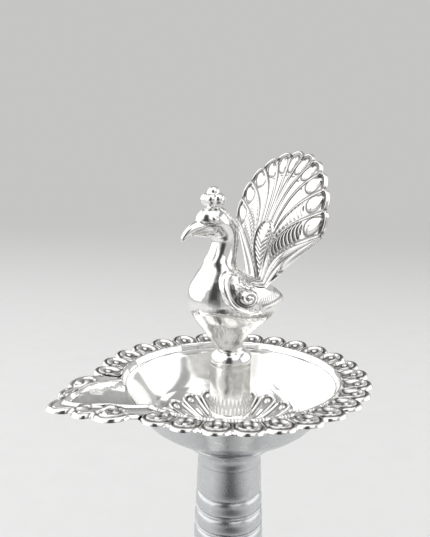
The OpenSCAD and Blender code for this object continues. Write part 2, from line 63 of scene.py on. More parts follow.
def mottled(tree, shader, scale, detail, tone, other_tone):
    """Gives a shader a colour that wavers between two tones. Returns the node with the place it is read at."""
    place = tree.nodes.new("ShaderNodeTexCoord")
    fibre = tree.nodes.new("ShaderNodeTexNoise")
    fibre.inputs["Scale"].default_value = scale
    fibre.inputs["Detail"].default_value = detail
    tint = tree.nodes.new("ShaderNodeMix")
    tint.data_type = "RGBA"
    tint.inputs["A"].default_value = tone
    tint.inputs["B"].default_value = other_tone
    tree.links.new(place.outputs["Object"], fibre.inputs["Vector"])
    tree.links.new(fibre.outputs["Fac"], tint.inputs["Factor"])
    tree.links.new(tint.outputs["Result"], shader.inputs["Base Color"])
    return place


def worked_out(tree, operation, first, second):
    """The result of a Math node on two values, kept between 0 and 1."""
    maths = tree.nodes.new("ShaderNodeMath")
    maths.operation = operation
    maths.use_clamp = True
    tree.links.new(first, maths.inputs[0])
    tree.links.new(second, maths.inputs[1])
    return maths.outputs["Value"]


def staged(name, bm, finish):
    """Makes an object of a mesh with its finish, shaded smooth and set in the scene, apart from the lamp's bodies.
    """
    mesh = bpy.data.meshes.new(name)
    bm.to_mesh(mesh)
    bm.free()
    mesh.shade_smooth()
    mesh.materials.append(finish)
    thing = bpy.data.objects.new(name, mesh)
    bpy.context.scene.collection.objects.link(thing)
    return thing


paper_finish, tree, shader = blank_material("pale_paper")
place = mottled(tree, shader, 60, 6, (0.80, 0.80, 0.795, 1), (0.84, 0.84, 0.835, 1))
shader.inputs["Roughness"].default_value = 0.8
shader.inputs["Specular IOR Level"].default_value = 0.2
ray = tree.nodes.new("ShaderNodeLightPath")
mirrored = worked_out(tree, "ADD", ray.outputs["Is Glossy Ray"], ray.outputs["Is Transmission Ray"])
seen = worked_out(tree, "ADD", ray.outputs["Is Camera Ray"], mirrored)
away = tree.nodes.new("ShaderNodeVectorMath")
away.operation = "LENGTH"
backdrop = tree.nodes.new("ShaderNodeMapRange")
backdrop.interpolation_type = "SMOOTHSTEP"
backdrop.inputs["From Min"].default_value = FLOOR_END
backdrop.inputs["From Max"].default_value = BACKDROP_FROM
even = tree.nodes.new("ShaderNodeEmission")
even.inputs["Color"].default_value = BACKDROP_TONE
mixed = tree.nodes.new("ShaderNodeMixShader")
tree.links.new(place.outputs["Object"], away.inputs[0])
tree.links.new(away.outputs["Value"], backdrop.inputs["Value"])
tree.links.new(worked_out(tree, "MULTIPLY", seen, backdrop.outputs["Result"]), mixed.inputs["Fac"])
tree.links.new(shader.outputs["BSDF"], mixed.inputs[1])
tree.links.new(even.outputs["Emission"], mixed.inputs[2])
tree.links.new(mixed.outputs["Shader"], tree.nodes["Material Output"].inputs["Surface"])

paper = bmesh.new()
line = [paper.verts.new((r, 0, z)) for r, z in SWEEP]
edges = [paper.edges.new(pair) for pair in zip(line, line[1:])]
bmesh.ops.spin(paper, geom=line + edges, cent=(0, 0, 0), axis=(0, 0, 1), angle=math.tau, steps=96, use_merge=True)
bmesh.ops.remove_doubles(paper, verts=paper.verts, dist=0.0001)
bmesh.ops.recalc_face_normals(paper, faces=paper.faces)
if sum(face.normal.z for face in paper.faces) < 0:
    bmesh.ops.reverse_faces(paper, faces=paper.faces)
staged("paper_sweep", paper, paper_finish)

AIM = Vector((0, 0, 0.15))


def soft_box(name, azimuth, height, distance, width, tall, watts):
    """A soft box seen from the lamp at an azimuth, with its face turned to the lamp."""
    light = bpy.data.lights.new(name, "AREA")
    light.shape = "RECTANGLE"
    light.size = width
    light.size_y = tall
    light.energy = watts
    box = bpy.data.objects.new(name, light)
    turn_by = math.radians(azimuth)
    box.location = (distance * math.sin(turn_by), -distance * math.cos(turn_by), height)
    box.rotation_euler = (AIM - box.location).to_track_quat("-Z", "Y").to_euler()
    box.visible_camera = False
    bpy.context.scene.collection.objects.link(box)


soft_box("top_box", azimuth=62, height=1.25, distance=0.45, width=1.9, tall=1.8, watts=10.6)
soft_box("key_box", azimuth=-36, height=0.6, distance=1.0, width=2.5, tall=1.15, watts=9.0)
soft_box("side_box", azimuth=158, height=0.55, distance=1.15, width=1.6, tall=1.0, watts=4.8)

card_finish, tree, shader = blank_material("dark_felt")
mottled(tree, shader, 40, 2, (0.045, 0.045, 0.045, 1), (0.065, 0.065, 0.065, 1))
shader.inputs["Roughness"].default_value = 0.9
soft_edge = tree.nodes.new("ShaderNodeAttribute")
soft_edge.attribute_name = "fade"
tree.links.new(soft_edge.outputs["Fac"], shader.inputs["Alpha"])

card_mesh = bmesh.new()
fade = card_mesh.verts.layers.float.new("fade")


def dark_card(width, tall, side_fade, end_fade, tip_up, spot, azimuth):
    """Adds a card with soft edges, tipped up, set at its spot and swung round the lamp."""
    card = bmesh.ops.create_grid(card_mesh, x_segments=20, y_segments=20, size=0.5)["verts"]
    for v in card:
        v[fade] = min(1, side_fade * (0.5 - abs(v.co.x))) * min(1, end_fade * (0.5 - abs(v.co.y)))
    bmesh.ops.scale(card_mesh, vec=(width, tall, 1), verts=card)
    bmesh.ops.rotate(card_mesh, verts=card, cent=(0, 0, 0), matrix=Matrix.Rotation(math.radians(tip_up), 3, "X"))
    bmesh.ops.translate(card_mesh, verts=card, vec=spot)
    bmesh.ops.rotate(card_mesh, verts=card, cent=(0, 0, 0), matrix=Matrix.Rotation(math.radians(azimuth), 3, "Z"))


dark_card(width=0.46, tall=1.2, side_fade=3.6, end_fade=4, tip_up=90, spot=(0, -0.5, 0.5), azimuth=50)
dark_card(width=0.44, tall=0.5, side_fade=2.4, end_fade=6, tip_up=0, spot=(0, -0.29, 0.002), azimuth=68)
cards = staged("dark_cards", card_mesh, card_finish)
cards.visible_camera = False
cards.visible_diffuse = False
cards.visible_shadow = False

room = bpy.data.worlds.new("grey_room")
bpy.context.scene.world = room
room.use_nodes = True
tree = room.node_tree
sky = tree.nodes["Background"]
place = tree.nodes.new("ShaderNodeTexCoord")
split = tree.nodes.new("ShaderNodeSeparateXYZ")
ramp = tree.nodes.new("ShaderNodeValToRGB")
ramp.color_ramp.elements[0].position = 0.0
ramp.color_ramp.elements[0].color = (0.22, 0.22, 0.225, 1)
ramp.color_ramp.elements[1].position = 0.85
ramp.color_ramp.elements[1].color = (0.45, 0.45, 0.45, 1)
middle = ramp.color_ramp.elements.new(0.35)
middle.color = (0.30, 0.30, 0.305, 1)
tree.links.new(place.outputs["Generated"], split.inputs["Vector"])
tree.links.new(split.outputs["Z"], ramp.inputs["Fac"])
tree.links.new(ramp.outputs["Color"], sky.inputs["Color"])
sky.inputs["Strength"].default_value = 1.0

# Camera: at the photograph's place, a little above the bird and turned 62 degrees from the spout's middle line.
# The lens gives the fitted focal length, in pixels, on the frame's long side.
FOCAL_PX = 680
FRAME_PX = 537
SENSOR = 36
eye = bpy.data.cameras.new("lamp_camera")
eye.lens = FOCAL_PX / FRAME_PX * SENSOR
eye.sensor_width = SENSOR
eye.clip_start = 0.01
camera = bpy.data.objects.new("lamp_camera", eye)
camera.matrix_world = (Matrix.Translation((0.1620, -0.0902, 0.2032)) @ Matrix.Rotation(math.radians(62.4), 4, "Z")
                       @ Matrix.Rotation(math.radians(78.5), 4, "X") @ Matrix.Rotation(math.radians(0.67), 4, "Z"))
bpy.context.scene.collection.objects.link(camera)
bpy.context.scene.camera = camera
bpy.context.scene.view_settings.view_transform = "Standard"


# Closing plate, its screws and the iron weight: hidden in the foot or under it. The plate is spun sheet,
# the screws are brass and the weight is a rough iron casting, all held by the three screws.
def new_group(name, inputs, outputs):
    """An empty node group with its sockets, and the nodes that they start and end at."""
    group = bpy.data.node_groups.new(name, "ShaderNodeTree")
    for way, sockets in (("INPUT", inputs), ("OUTPUT", outputs)):
        for label, kind in sockets:
            group.interface.new_socket(label, in_out=way, socket_type="NodeSocket" + kind)
    return group, group.nodes.new("NodeGroupInput"), group.nodes.new("NodeGroupOutput")


def marks_group():
    """Shared surface marks: a fine haze from wiping, and the slow dents of a casting or of spun sheet."""
    group, start, end = new_group("handling_marks",
                                  (("Vector", "Vector"), ("Haze Scale", "Float"), ("Dent Scale", "Float")),
                                  (("Haze", "Float"), ("Dents", "Float")))
    haze = group.nodes.new("ShaderNodeTexNoise")
    haze.inputs["Detail"].default_value = 5
    dents = group.nodes.new("ShaderNodeTexNoise")
    dents.inputs["Detail"].default_value = 1.5
    spread = group.nodes.new("ShaderNodeMapRange")
    spread.inputs["From Min"].default_value = 0.35
    spread.inputs["From Max"].default_value = 0.75
    group.links.new(start.outputs["Vector"], haze.inputs["Vector"])
    group.links.new(start.outputs["Haze Scale"], haze.inputs["Scale"])
    group.links.new(start.outputs["Vector"], dents.inputs["Vector"])
    group.links.new(start.outputs["Dent Scale"], dents.inputs["Scale"])
    group.links.new(haze.outputs["Fac"], spread.inputs["Value"])
    group.links.new(spread.outputs["Result"], end.inputs["Haze"])
    group.links.new(dents.outputs["Fac"], end.inputs["Dents"])
    return group


def haze_and_painted_shade_group():
    """Darker, duller metal where a mask of painted shade says so, and by a little in the haze."""
    group, start, end = new_group("haze_and_painted_shade",
                                  (("Mask", "Float"), ("Haze", "Float"), ("Bright", "Color"), ("Shade And Haze", "Color"),
                                   ("Bright Roughness", "Float"), ("Dark Roughness", "Float")),
                                  (("Color", "Color"), ("Roughness", "Float")))
    shade_and_haze = group.nodes.new("ShaderNodeMath")
    shade_and_haze.operation = "MULTIPLY_ADD"
    shade_and_haze.inputs[1].default_value = 0.12
    shade_and_haze.use_clamp = True
    colour = group.nodes.new("ShaderNodeMix")
    colour.data_type = "RGBA"
    rough = group.nodes.new("ShaderNodeMix")
    group.links.new(start.outputs["Haze"], shade_and_haze.inputs[0])
    group.links.new(start.outputs["Mask"], shade_and_haze.inputs[2])
    group.links.new(shade_and_haze.outputs["Value"], colour.inputs["Factor"])
    group.links.new(shade_and_haze.outputs["Value"], rough.inputs["Factor"])
    group.links.new(start.outputs["Bright"], colour.inputs["A"])
    group.links.new(start.outputs["Shade And Haze"], colour.inputs["B"])
    group.links.new(start.outputs["Bright Roughness"], rough.inputs["A"])
    group.links.new(start.outputs["Dark Roughness"], rough.inputs["B"])
    group.links.new(colour.outputs["Result"], end.inputs["Color"])
    group.links.new(rough.outputs["Result"], end.inputs["Roughness"])
    return group


HANDLING = marks_group()
HAZE_AND_PAINTED_SHADE = haze_and_painted_shade_group()


def metal(name, bright, shade_and_haze_colour, rough, dull_rough, haze_scale, dent_scale, dent_depth, lines=0, line_depth=0,
          reads_painted_shade=True):
    """A metal finish: bright, and darkened in its recesses by painted shade that a mesh attribute gives, with dents
    as bump.
    A turned finish also has fine lines, and reflections that are drawn out across them."""
    material, tree, shader = blank_material(name)
    place = tree.nodes.new("ShaderNodeTexCoord")
    marks = tree.nodes.new("ShaderNodeGroup")
    marks.node_tree = HANDLING
    marks.inputs["Haze Scale"].default_value = haze_scale
    marks.inputs["Dent Scale"].default_value = dent_scale
    haze_and_painted_shade = tree.nodes.new("ShaderNodeGroup")
    haze_and_painted_shade.node_tree = HAZE_AND_PAINTED_SHADE
    haze_and_painted_shade.inputs["Bright"].default_value = (*bright, 1)
    haze_and_painted_shade.inputs["Shade And Haze"].default_value = (*shade_and_haze_colour, 1)
    haze_and_painted_shade.inputs["Bright Roughness"].default_value = rough
    haze_and_painted_shade.inputs["Dark Roughness"].default_value = dull_rough
    bump = tree.nodes.new("ShaderNodeBump")
    bump.inputs["Strength"].default_value = 1
    bump.inputs["Distance"].default_value = dent_depth
    tree.links.new(place.outputs["Object"], marks.inputs["Vector"])
    tree.links.new(marks.outputs["Haze"], haze_and_painted_shade.inputs["Haze"])
    tree.links.new(marks.outputs["Dents"], bump.inputs["Height"])
    # Painted shade: a mesh attribute darkens the colour in recesses and creases, standing in for their shade and
    # dark reflections.
    if reads_painted_shade:
        painted_shade = tree.nodes.new("ShaderNodeAttribute")
        painted_shade.attribute_name = "painted_shade"
        tree.links.new(painted_shade.outputs["Fac"], haze_and_painted_shade.inputs["Mask"])
    if lines:
        split = tree.nodes.new("ShaderNodeSeparateXYZ")
        rows = tree.nodes.new("ShaderNodeTexNoise")
        rows.noise_dimensions = "1D"
        rows.inputs["Scale"].default_value = lines
        rows.inputs["Detail"].default_value = 4
        fine = tree.nodes.new("ShaderNodeBump")
        fine.inputs["Strength"].default_value = 1
        fine.inputs["Distance"].default_value = line_depth
        tree.links.new(place.outputs["Object"], split.inputs["Vector"])
        tree.links.new(split.outputs["Z"], rows.inputs["W"])
        tree.links.new(rows.outputs["Fac"], fine.inputs["Height"])
        tree.links.new(bump.outputs["Normal"], fine.inputs["Normal"])
        bump = fine
        grain = tree.nodes.new("ShaderNodeTangent")
        grain.direction_type = "RADIAL"
        grain.axis = "Z"
        tree.links.new(grain.outputs["Tangent"], shader.inputs["Tangent"])
        shader.inputs["Anisotropic"].default_value = 0.5
        shader.inputs["Anisotropic Rotation"].default_value = 0.25
    tree.links.new(bump.outputs["Normal"], shader.inputs["Normal"])
    tree.links.new(haze_and_painted_shade.outputs["Color"], shader.inputs["Base Color"])
    tree.links.new(haze_and_painted_shade.outputs["Roughness"], shader.inputs["Roughness"])
    shader.inputs["Metallic"].default_value = 1
    return material


SILVER_BRIGHT = (0.95, 0.945, 0.93)
# The dark silver is painted shade: the colour that the recesses are darkened to.
SILVER_PAINTED_SHADE = (0.12, 0.11, 0.10)
polished = metal("polished_silver", SILVER_BRIGHT, SILVER_PAINTED_SHADE, rough=0.10, dull_rough=0.4,
                 haze_scale=700, dent_scale=130, dent_depth=0.00006)
# Painted shade and painted reflection: the satin's darker, slightly bluish colour stands in for the dark
# surroundings that the stem and the pan's underside reflect. Its roughness and turned lines are its real finish.
satin = metal("satin_silver", (0.64, 0.655, 0.665), (0.30, 0.30, 0.30), rough=0.27, dull_rough=0.45,
              haze_scale=500, dent_scale=90, dent_depth=0.00003, lines=1500, line_depth=0.000012, reads_painted_shade=False)
brass = metal("turned_brass", (0.83, 0.62, 0.30), (0.42, 0.29, 0.13), rough=0.22, dull_rough=0.5,
              haze_scale=600, dent_scale=160, dent_depth=0.00003, lines=1200, line_depth=0.00001, reads_painted_shade=False)
iron = metal("cast_iron", (0.17, 0.17, 0.175), (0.07, 0.06, 0.055), rough=0.55, dull_rough=0.8,
             haze_scale=900, dent_scale=420, dent_depth=0.0003, reads_painted_shade=False)

for node, finish in (("base_plate", satin), ("base_screws", brass), ("base_weight", iron), ("foot_boss", brass),
                     ("stem_stud", brass), ("stem_foot_bush", brass), ("stem_head_bush", brass),
                     ("post_stud", brass), ("bird_stud", brass)):
    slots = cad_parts[node].data.materials
    slots.clear()
    slots.append(finish)

# Foot: one spun shell of sheet silver, with a flange that stands on the closing plate, a dome, a shoulder line
# and a narrow neck. The stem's screw passes through the hole in its top.
MM = 0.001
FOOT_Z = 1.2


def on_cubic(guides, t):
    """The point at a share of the way along a cubic curve with four guide points."""
    u = 1 - t
    weights = (u * u * u, 3 * u * u * t, 3 * u * t * t, t * t * t)
    return tuple(sum(w * p[k] for w, p in zip(weights, guides)) for k in range(2))


def cubic(a, b, c, d, steps):
    """A line of points on a cubic curve."""
    return [on_cubic((a, b, c, d), i / steps) for i in range(steps + 1)]


def bead(radius, low, tall, bulge, steps=10):
    """A half-round bead on a turned profile, from its lower edge up."""
    points = []
    for i in range(steps + 1):
        angle = math.pi * (i / steps - 0.5)
        points.append((radius + bulge * math.cos(angle), low + tall / 2 * (1 + math.sin(angle))))
    return points


def eased(profile, size, steps=3):
    """The closed profile with each corner rounded off by about the given size."""
    straight = 2.9
    out = []
    count = len(profile)
    for i, p in enumerate(profile):
        here = Vector(p)
        before = Vector(profile[i - 1]) - here
        after = Vector(profile[(i + 1) % count]) - here
        if before.length < 1e-6 or after.length < 1e-6:
            continue
        if p[0] < 1e-6 or before.angle(after) > straight:
            out.append(p)
            continue
        start = here + before.normalized() * min(size, before.length * 0.45)
        end = here + after.normalized() * min(size, after.length * 0.45)
        for k in range(steps + 1):
            t = k / steps
            q = start * (1 - t) ** 2 + here * 2 * t * (1 - t) + end * t * t
            out.append((q.x, q.y))
    return out


def turned(profile, steps=160):
    """A closed profile of radius and height, turned round the lamp's axis."""
    bm = bmesh.new()
    points = [bm.verts.new((r, 0, z)) for r, z in profile]
    sides = [bm.edges.new(pair) for pair in zip(points, points[1:] + points[:1])]
    bmesh.ops.spin(bm, geom=points + sides, cent=(0, 0, 0), axis=(0, 0, 1), angle=math.tau, steps=steps,
                   use_merge=True)
    bmesh.ops.remove_doubles(bm, verts=bm.verts, dist=0.0005)
    bmesh.ops.recalc_face_normals(bm, faces=bm.faces)
    return bm


def keep(name, bm, finish, body, slot, *nodes, crease=40):
    """Brings a mesh to metres and makes it the piece that stands for its CAD nodes."""
    bmesh.ops.scale(bm, vec=(MM, MM, MM), verts=bm.verts)
    mesh = bpy.data.meshes.new(name)
    bm.to_mesh(mesh)
    bm.free()
    mesh.shade_smooth()
    mesh.set_sharp_from_angle(angle=math.radians(crease))
    piece = bpy.data.objects.new(name, mesh)
    bpy.context.scene.collection.objects.link(piece)
    mesh.materials.append(finish)
    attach(piece, body)
    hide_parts(*nodes)
    return piece


def lifted(profile, height):
    """The profile at its height in the lamp."""
    return [(r, z + height) for r, z in profile]


foot_outer = (cubic((29.5, 1.4), (29.5, 9.36), (21.5, 10.92), (18.0, 12.7), 22)
              + bead(17.3, 12.75, 1.1, 0.7, 8)
              + cubic((16.7, 13.9), (13.1, 15.6), (11.3, 20), (10.5, 27), 22))
foot_inner = (cubic((9.1, 25.6), (9.9, 19.4), (11.8, 14.4), (16.4, 12.0), 14)
              + cubic((17, 11.6), (20.6, 9.8), (28.1, 8.6), (28.1, 0), 14))
foot_profile = [(28.1, 0), (36, 0), (36, 1.38)] + foot_outer + [(7.5, 27), (7.5, 25.6)] + foot_inner[:-1]
keep("foot_shell", turned(lifted(eased(foot_profile, 0.25), FOOT_Z)), polished, "base", "silver", "foot")

# Foot border: a cast ring of scallops soldered on the foot's flange. Each scallop has an oval ring with a bead in
# its dish and a rolled lip, and two thin leaf ribs stand in the gap to the next one.
NOTCH = 0.6


def hump(x, middle, width):
    """A smooth ridge of height 1."""
    return math.exp(-((x - middle) / width) ** 2)


def dome(x, radius):
    """A half ball of height 1."""
    return math.sqrt(max(1 - (x / radius) ** 2, 0))


def clamp(x):
    """The value kept between 0 and 1."""
    return min(max(x, 0.0), 1.0)


def round_over(depth_in, radius):
    """Drop of a rounded edge at a distance in from it."""
    if depth_in >= radius:
        return 0.0
    x = 1 - max(depth_in, 0) / radius
    return -radius * (1 - math.sqrt(1 - x * x))


def scallop_relief(r, s, gap, inner, lip, scallop_r):
    """Height of a border's top above its plain face, and how much painted shade darkens it."""
    centre = lip - scallop_r
    edge = scallop_r - math.hypot(r - centre, s) if r > centre else 9.0
    middle = (inner + lip) / 2
    ring = math.hypot((r - middle) / (0.325 * (lip - inner)), s / 2.65)
    bead_at = math.hypot(r - middle - 0.7, s)
    dish = dome(ring, 0.84)
    ball = dome(bead_at, 0.72)
    height = 0.5 * hump(ring, 1, 0.16) - 0.22 * dish + 0.6 * ball
    # The second value is painted shade: darkest in the dishes round the beads, the grooves behind the lips, the
    # wedges between scallops and the gaps beside the leaf ribs.
    shade_amount = 0.85 * hump(ring, 1.3, 0.12) * clamp((r - inner - 1.5) / 2)
    shade_amount += 0.1 * dish + hump(bead_at, 0.95, 0.3) - ball
    wedge = clamp((middle + 0.1 - r) / 0.6) * clamp((r - inner - 1.8) / 0.4) * hump(abs(s), 1.15, 0.55)
    height -= 0.3 * wedge
    shade_amount += 0.95 * wedge
    groove = hump(edge, 1.3, 0.24) * clamp((r - middle) / 1.5)
    height -= 0.38 * groove
    shade_amount += 0.9 * groove
    along = clamp((r - inner - 0.7) / 0.6) * clamp((middle + 2.2 - r) / 1.5)
    side = gap - abs(s)
    height += along * (0.26 * hump(side, 0.0, 0.2) + 0.24 * hump(side, 0.85, 0.2) - 0.22 * hump(side, 0.43, 0.2))
    shade_amount += along * (0.75 * hump(side, 0.43, 0.22) + 0.6 * hump(side, 1.2, 0.2))
    height += round_over(edge, 1.1) + 0.12 * hump(edge, 0.7, 0.4)
    height += 0.85 * hump(r - inner, 0.95, 0.55) + round_over(r - inner, 0.95)
    shade_amount += 0.6 * hump(r - inner, 1.95, 0.2)
    return height, clamp(shade_amount)


def section_rows(top_rows, low_rows):
    """Stations round a border's closed section: its top outwards, then its underside back."""
    top = [(True, i / top_rows) for i in range(top_rows + 1)]
    low = [(False, 1 - i / low_rows) for i in range(low_rows + 1)]
    return top + low


def grid_sheet(columns, rows):
    """A plane grid with a painted shade value, and the column and row number of each of its points."""
    bm = bmesh.new()
    bmesh.ops.create_grid(bm, x_segments=columns, y_segments=rows, size=1)
    painted_shade = bm.verts.layers.float.new("painted_shade")
    spots = [(v, round((v.co.x + 1) / 2 * columns), round((v.co.y + 1) / 2 * rows)) for v in bm.verts]
    return bm, painted_shade, spots


def scallop_border(inner, lip, cells, copies, first, top, low, tilt):
    """A ring of scallops from one tile, which is turned into its copies about the lamp's axis."""
    pitch = math.tau / cells
    scallop_r = lip * math.sin(pitch / 2)
    centre = lip - scallop_r
    stations = section_rows(44, 5)
    columns = 30
    bm, painted_shade, spots = grid_sheet(columns, len(stations) - 1)
    for v, i, j in spots:
        angle = pitch * (i / columns - 0.5)
        on_top, t = stations[j]
        reach = centre * math.sin(angle)
        swing = max(scallop_r ** 2 - reach ** 2, 0.0)
        far = max(centre * math.cos(angle) + math.sqrt(swing), centre + NOTCH * scallop_r)
        r = inner + t * (far - inner)
        s = r * math.sin(angle)
        if on_top:
            rise, shade_amount = scallop_relief(r * math.cos(angle), s, r * math.sin(pitch / 2), inner, lip, scallop_r)
            z = top + rise
            # The top carries the painted shade value from the relief.
            v[painted_shade] = shade_amount
        else:
            z = low
        bent_up = tilt * clamp((r - inner) / (lip - inner)) ** 1.3
        v.co = (r * math.cos(angle), s, max(z, low) + bent_up)
    bmesh.ops.rotate(bm, verts=bm.verts, cent=(0, 0, 0), matrix=Matrix.Rotation(first, 3, "Z"))
    tile = bm.verts[:] + bm.edges[:] + bm.faces[:]
    bmesh.ops.spin(bm, geom=tile, cent=(0, 0, 0), axis=(0, 0, 1), angle=pitch * (copies - 1), steps=copies - 1,
                   use_duplicate=True)
    return bm


def closed_up(bm, gap=0.004):
    """Merges the seams of a mesh and turns its faces outwards."""
    bmesh.ops.remove_doubles(bm, verts=bm.verts, dist=gap)
    bmesh.ops.dissolve_degenerate(bm, dist=0.0005, edges=bm.edges)
    bmesh.ops.recalc_face_normals(bm, faces=bm.faces)
    return bm


foot_ring = scallop_border(inner=29.6, lip=38.5, cells=27, copies=27, first=0, top=3.8, low=2.62, tilt=0)
keep("foot_scallops", closed_up(foot_ring), polished, "base", "silver", "foot_border", crease=70)

# Lower stem: turned and left satin from the lathe, with a bead at each end and a drawn-in waist. It is
# soldered to the knop above, and its lower end takes the screw from the foot.
STEM_Z = 28.2
lower_profile = ([(6.5, 0)] + bead(10.3, 0.02, 3.3, 1.4) + bead(9.9, 3.45, 0.7, 0.35, 6)
                 + cubic((9.9, 4.2), (8.2, 12.6), (8.2, 25.2), (9.7, 32.5), 24)
                 + bead(9.8, 32.6, 0.7, 0.35, 6) + bead(10.3, 33.4, 2.58, 1.0) + [(6.5, 36)])
keep("stem_lower_turned", turned(lifted(lower_profile, STEM_Z)), satin, "stem", "satin", "stem_lower")

# Knop: a polished swelling between two thin collars, where the hand holds the lamp. Turned from the solid and
# soldered between the lower and the upper stem.
KNOP_Z = 64.2
knop_profile = ([(6.5, 0), (11.2, 0), (11.2, 0.8), (10.6, 1.0)]
                + cubic((10.6, 1.02), (15.4, 2.75), (15.4, 8.25), (10.6, 9.98), 30)
                + [(10.6, 10.0), (11.2, 10.2), (11.2, 11), (6.5, 11)])
keep("stem_knop_turned", turned(lifted(eased(knop_profile, 0.2), KNOP_Z)), polished, "stem", "silver", "stem_knop")

# Upper stem: satin from the lathe, with four round-shouldered rings parted by thin beads, and a plain part above
# that narrows towards the pan.
UPPER_Z = 75.2
RING_H = 5.45
FIRST_RING = 3.1
upper_profile = [(6.5, 0), (10.6, 0), (10.6, 2.0), (10.3, 2.2)]
for k in range(4):
    ring_r = 10.35 - 0.22 * k
    low = FIRST_RING + k * RING_H
    upper_profile += bead(ring_r - 0.35, low - 0.9, 0.8, 0.5, 8)
    upper_profile += cubic((ring_r - 0.4, low), (ring_r + 0.1, low + 0.1), (ring_r + 0.15, low + 1.0),
                           (ring_r + 0.15, low + 2.0), 8)
    upper_profile += cubic((ring_r + 0.14, low + 2.2), (ring_r + 0.1, low + 3.4), (ring_r - 0.2, low + 4.1),
                           (ring_r - 0.85, low + 4.5), 12)
upper_profile += [(9.4, 24.3), (9.55, 24.6), (9.52, 27), (9.4, 30), (9.2, 33.4), (6.5, 33.4)]
keep("stem_upper_turned", turned(lifted(upper_profile, UPPER_Z)), satin, "stem", "satin", "stem_upper")

# Collar: the end of the stem under the pan, turned and satin like the rest, which flares to carry the pan's floor.
# The post's screw draws pan, collar and stem together.
COLLAR_Z = 108.6
collar_profile = ([(4.3, 0.02), (9.15, 0.02)] + cubic((9.1, 0.06), (8.8, 2.0), (9.4, 4.2), (11.6, 5.3), 16)
                  + cubic((11.9, 5.32), (12.85, 5.5), (12.85, 6.5), (11.9, 6.75), 12)
                  + [(11.55, 6.85), (11.5, 7.25), (10.95, 7.1), (9.4, 6.7), (4.3, 6.7)])
keep("pan_collar_turned", turned(lifted(collar_profile, COLLAR_Z)), satin, "stem", "satin", "pan_collar")

# Oil pan: spun from sheet, polished inside and left satin outside, with a dished floor and a steep wall. Its flange
# is drawn out on one side into the trough of the wick spout, which is closed towards its tip.
PAN_Z = 120.6
RIM_Z = 134.2
MOUTH_R = 30.0
RIM_LIP = 39.8
RIM_TILT = 1.3
FLANGE_W = 5.3
PAN_FLANGE_R = MOUTH_R + FLANGE_W
TROUGH_HALF = 8.8
TROUGH_FROM = 20.0
TROUGH_GUIDES = ((36, 9.2), (44, 5.6), (47.3, 0))
TROUGH_DEPTH = 3.0
TROUGH_WALL = 1.2
trough_side = [(TROUGH_FROM, TROUGH_HALF)] + cubic((28.5, TROUGH_HALF), *TROUGH_GUIDES, 40)


def rim_lift(along, side):
    """How far pan edge and border are bent up, at a place seen from above with the spout along the first axis."""
    out = clamp((math.hypot(along, side) - MOUTH_R) / (RIM_LIP - MOUTH_R))
    return RIM_TILT * out ** 1.3 * (1 - 0.45 * clamp((along - 40) / 10))


def trough_half(along):
    """Half width of the trough at a distance from the lamp's axis."""
    for (a0, w0), (a1, w1) in zip(trough_side, trough_side[1:]):
        if a0 <= along <= a1:
            return w0 + (w1 - w0) * (along - a0) / (a1 - a0)
    return 0.0


def trough_floor(along, side):
    """Height of the trough's surface, or None beside the trough."""
    half = trough_half(along)
    if half <= 0 or abs(side) >= half:
        return None
    depth = TROUGH_DEPTH * clamp((48.3 - along) / 12) ** 0.7
    return RIM_Z - 1.0 + rim_lift(along, side) - depth * (1 - (abs(side) / half) ** 2.6)


def trough_reach(angle):
    """How far from the axis the trough's edge lies, at an angle from the spout's middle line."""
    reach = 0.0
    for a, w in trough_side[1:]:
        if math.atan2(w, a) >= abs(angle):
            reach = math.hypot(a, w)
    return reach


flange_in = [(MOUTH_R + FLANGE_W * i / 12, 12.1) for i in range(13)]
flange_out = [(PAN_FLANGE_R - 4.0 * i / 9, 11.1) for i in range(10)]
wall_in = ([(MOUTH_R, 12.0), (29.9, 11.6), (29.6, 10.9)]
           + cubic((29.4, 10.5), (27.4, 7.4), (25.0, 4.0), (23.1, 2.5), 36))
dish_in = cubic((22.9, 2.3), (20.4, -0.4), (14.5, -2.9), (8.0, -3.9), 24)
dish_out = cubic((9.4, -5.2), (14.5, -4.0), (20.5, -1.6), (24.3, 2.2), 24)
wall_out = cubic((24.5, 2.5), (26.6, 5.6), (29.0, 8.7), (30.8, 10.7), 14)
pan_profile = ([(4.3, -5.2)] + dish_out + wall_out + flange_out[::-1] + flange_in[::-1] + wall_in + dish_in
               + [(4.3, -3.9)])
pan = turned(lifted(pan_profile, PAN_Z), 256)
top_side = {v for face in pan.faces if face.normal.z > 0.05 for v in face.verts}
for v in pan.verts:
    angle = math.atan2(v.co.x, -v.co.y)
    angle -= 0.6 * math.sin(angle)
    r = math.hypot(v.co.x, v.co.y)
    far = trough_reach(angle)
    if r > MOUTH_R and far > PAN_FLANGE_R:
        r = MOUTH_R + (r - MOUTH_R) * (far - 0.05 - MOUTH_R) / FLANGE_W
    along = r * math.cos(angle)
    side = r * math.sin(angle)
    z = v.co.z + rim_lift(along, side)
    floor = trough_floor(along, side) if along > TROUGH_FROM else None
    if floor is not None:
        if v in top_side:
            z = min(z, floor) if r <= MOUTH_R else floor
        else:
            z = min(z, floor - TROUGH_WALL) if r <= 31.4 else floor - TROUGH_WALL
    v.co = (side, -along, z)
bmesh.ops.recalc_face_normals(pan, faces=pan.faces)
# Faces turned up take the polished silver and the rest the satin, whose darker colour is painted shade.
for face in pan.faces:
    face.material_index = 0 if face.normal.z > 0.05 else 1
pan_piece = keep("oil_pan_spun", pan, polished, "stem", "silver", "oil_pan", crease=50)
pan_piece.data.materials.append(satin)

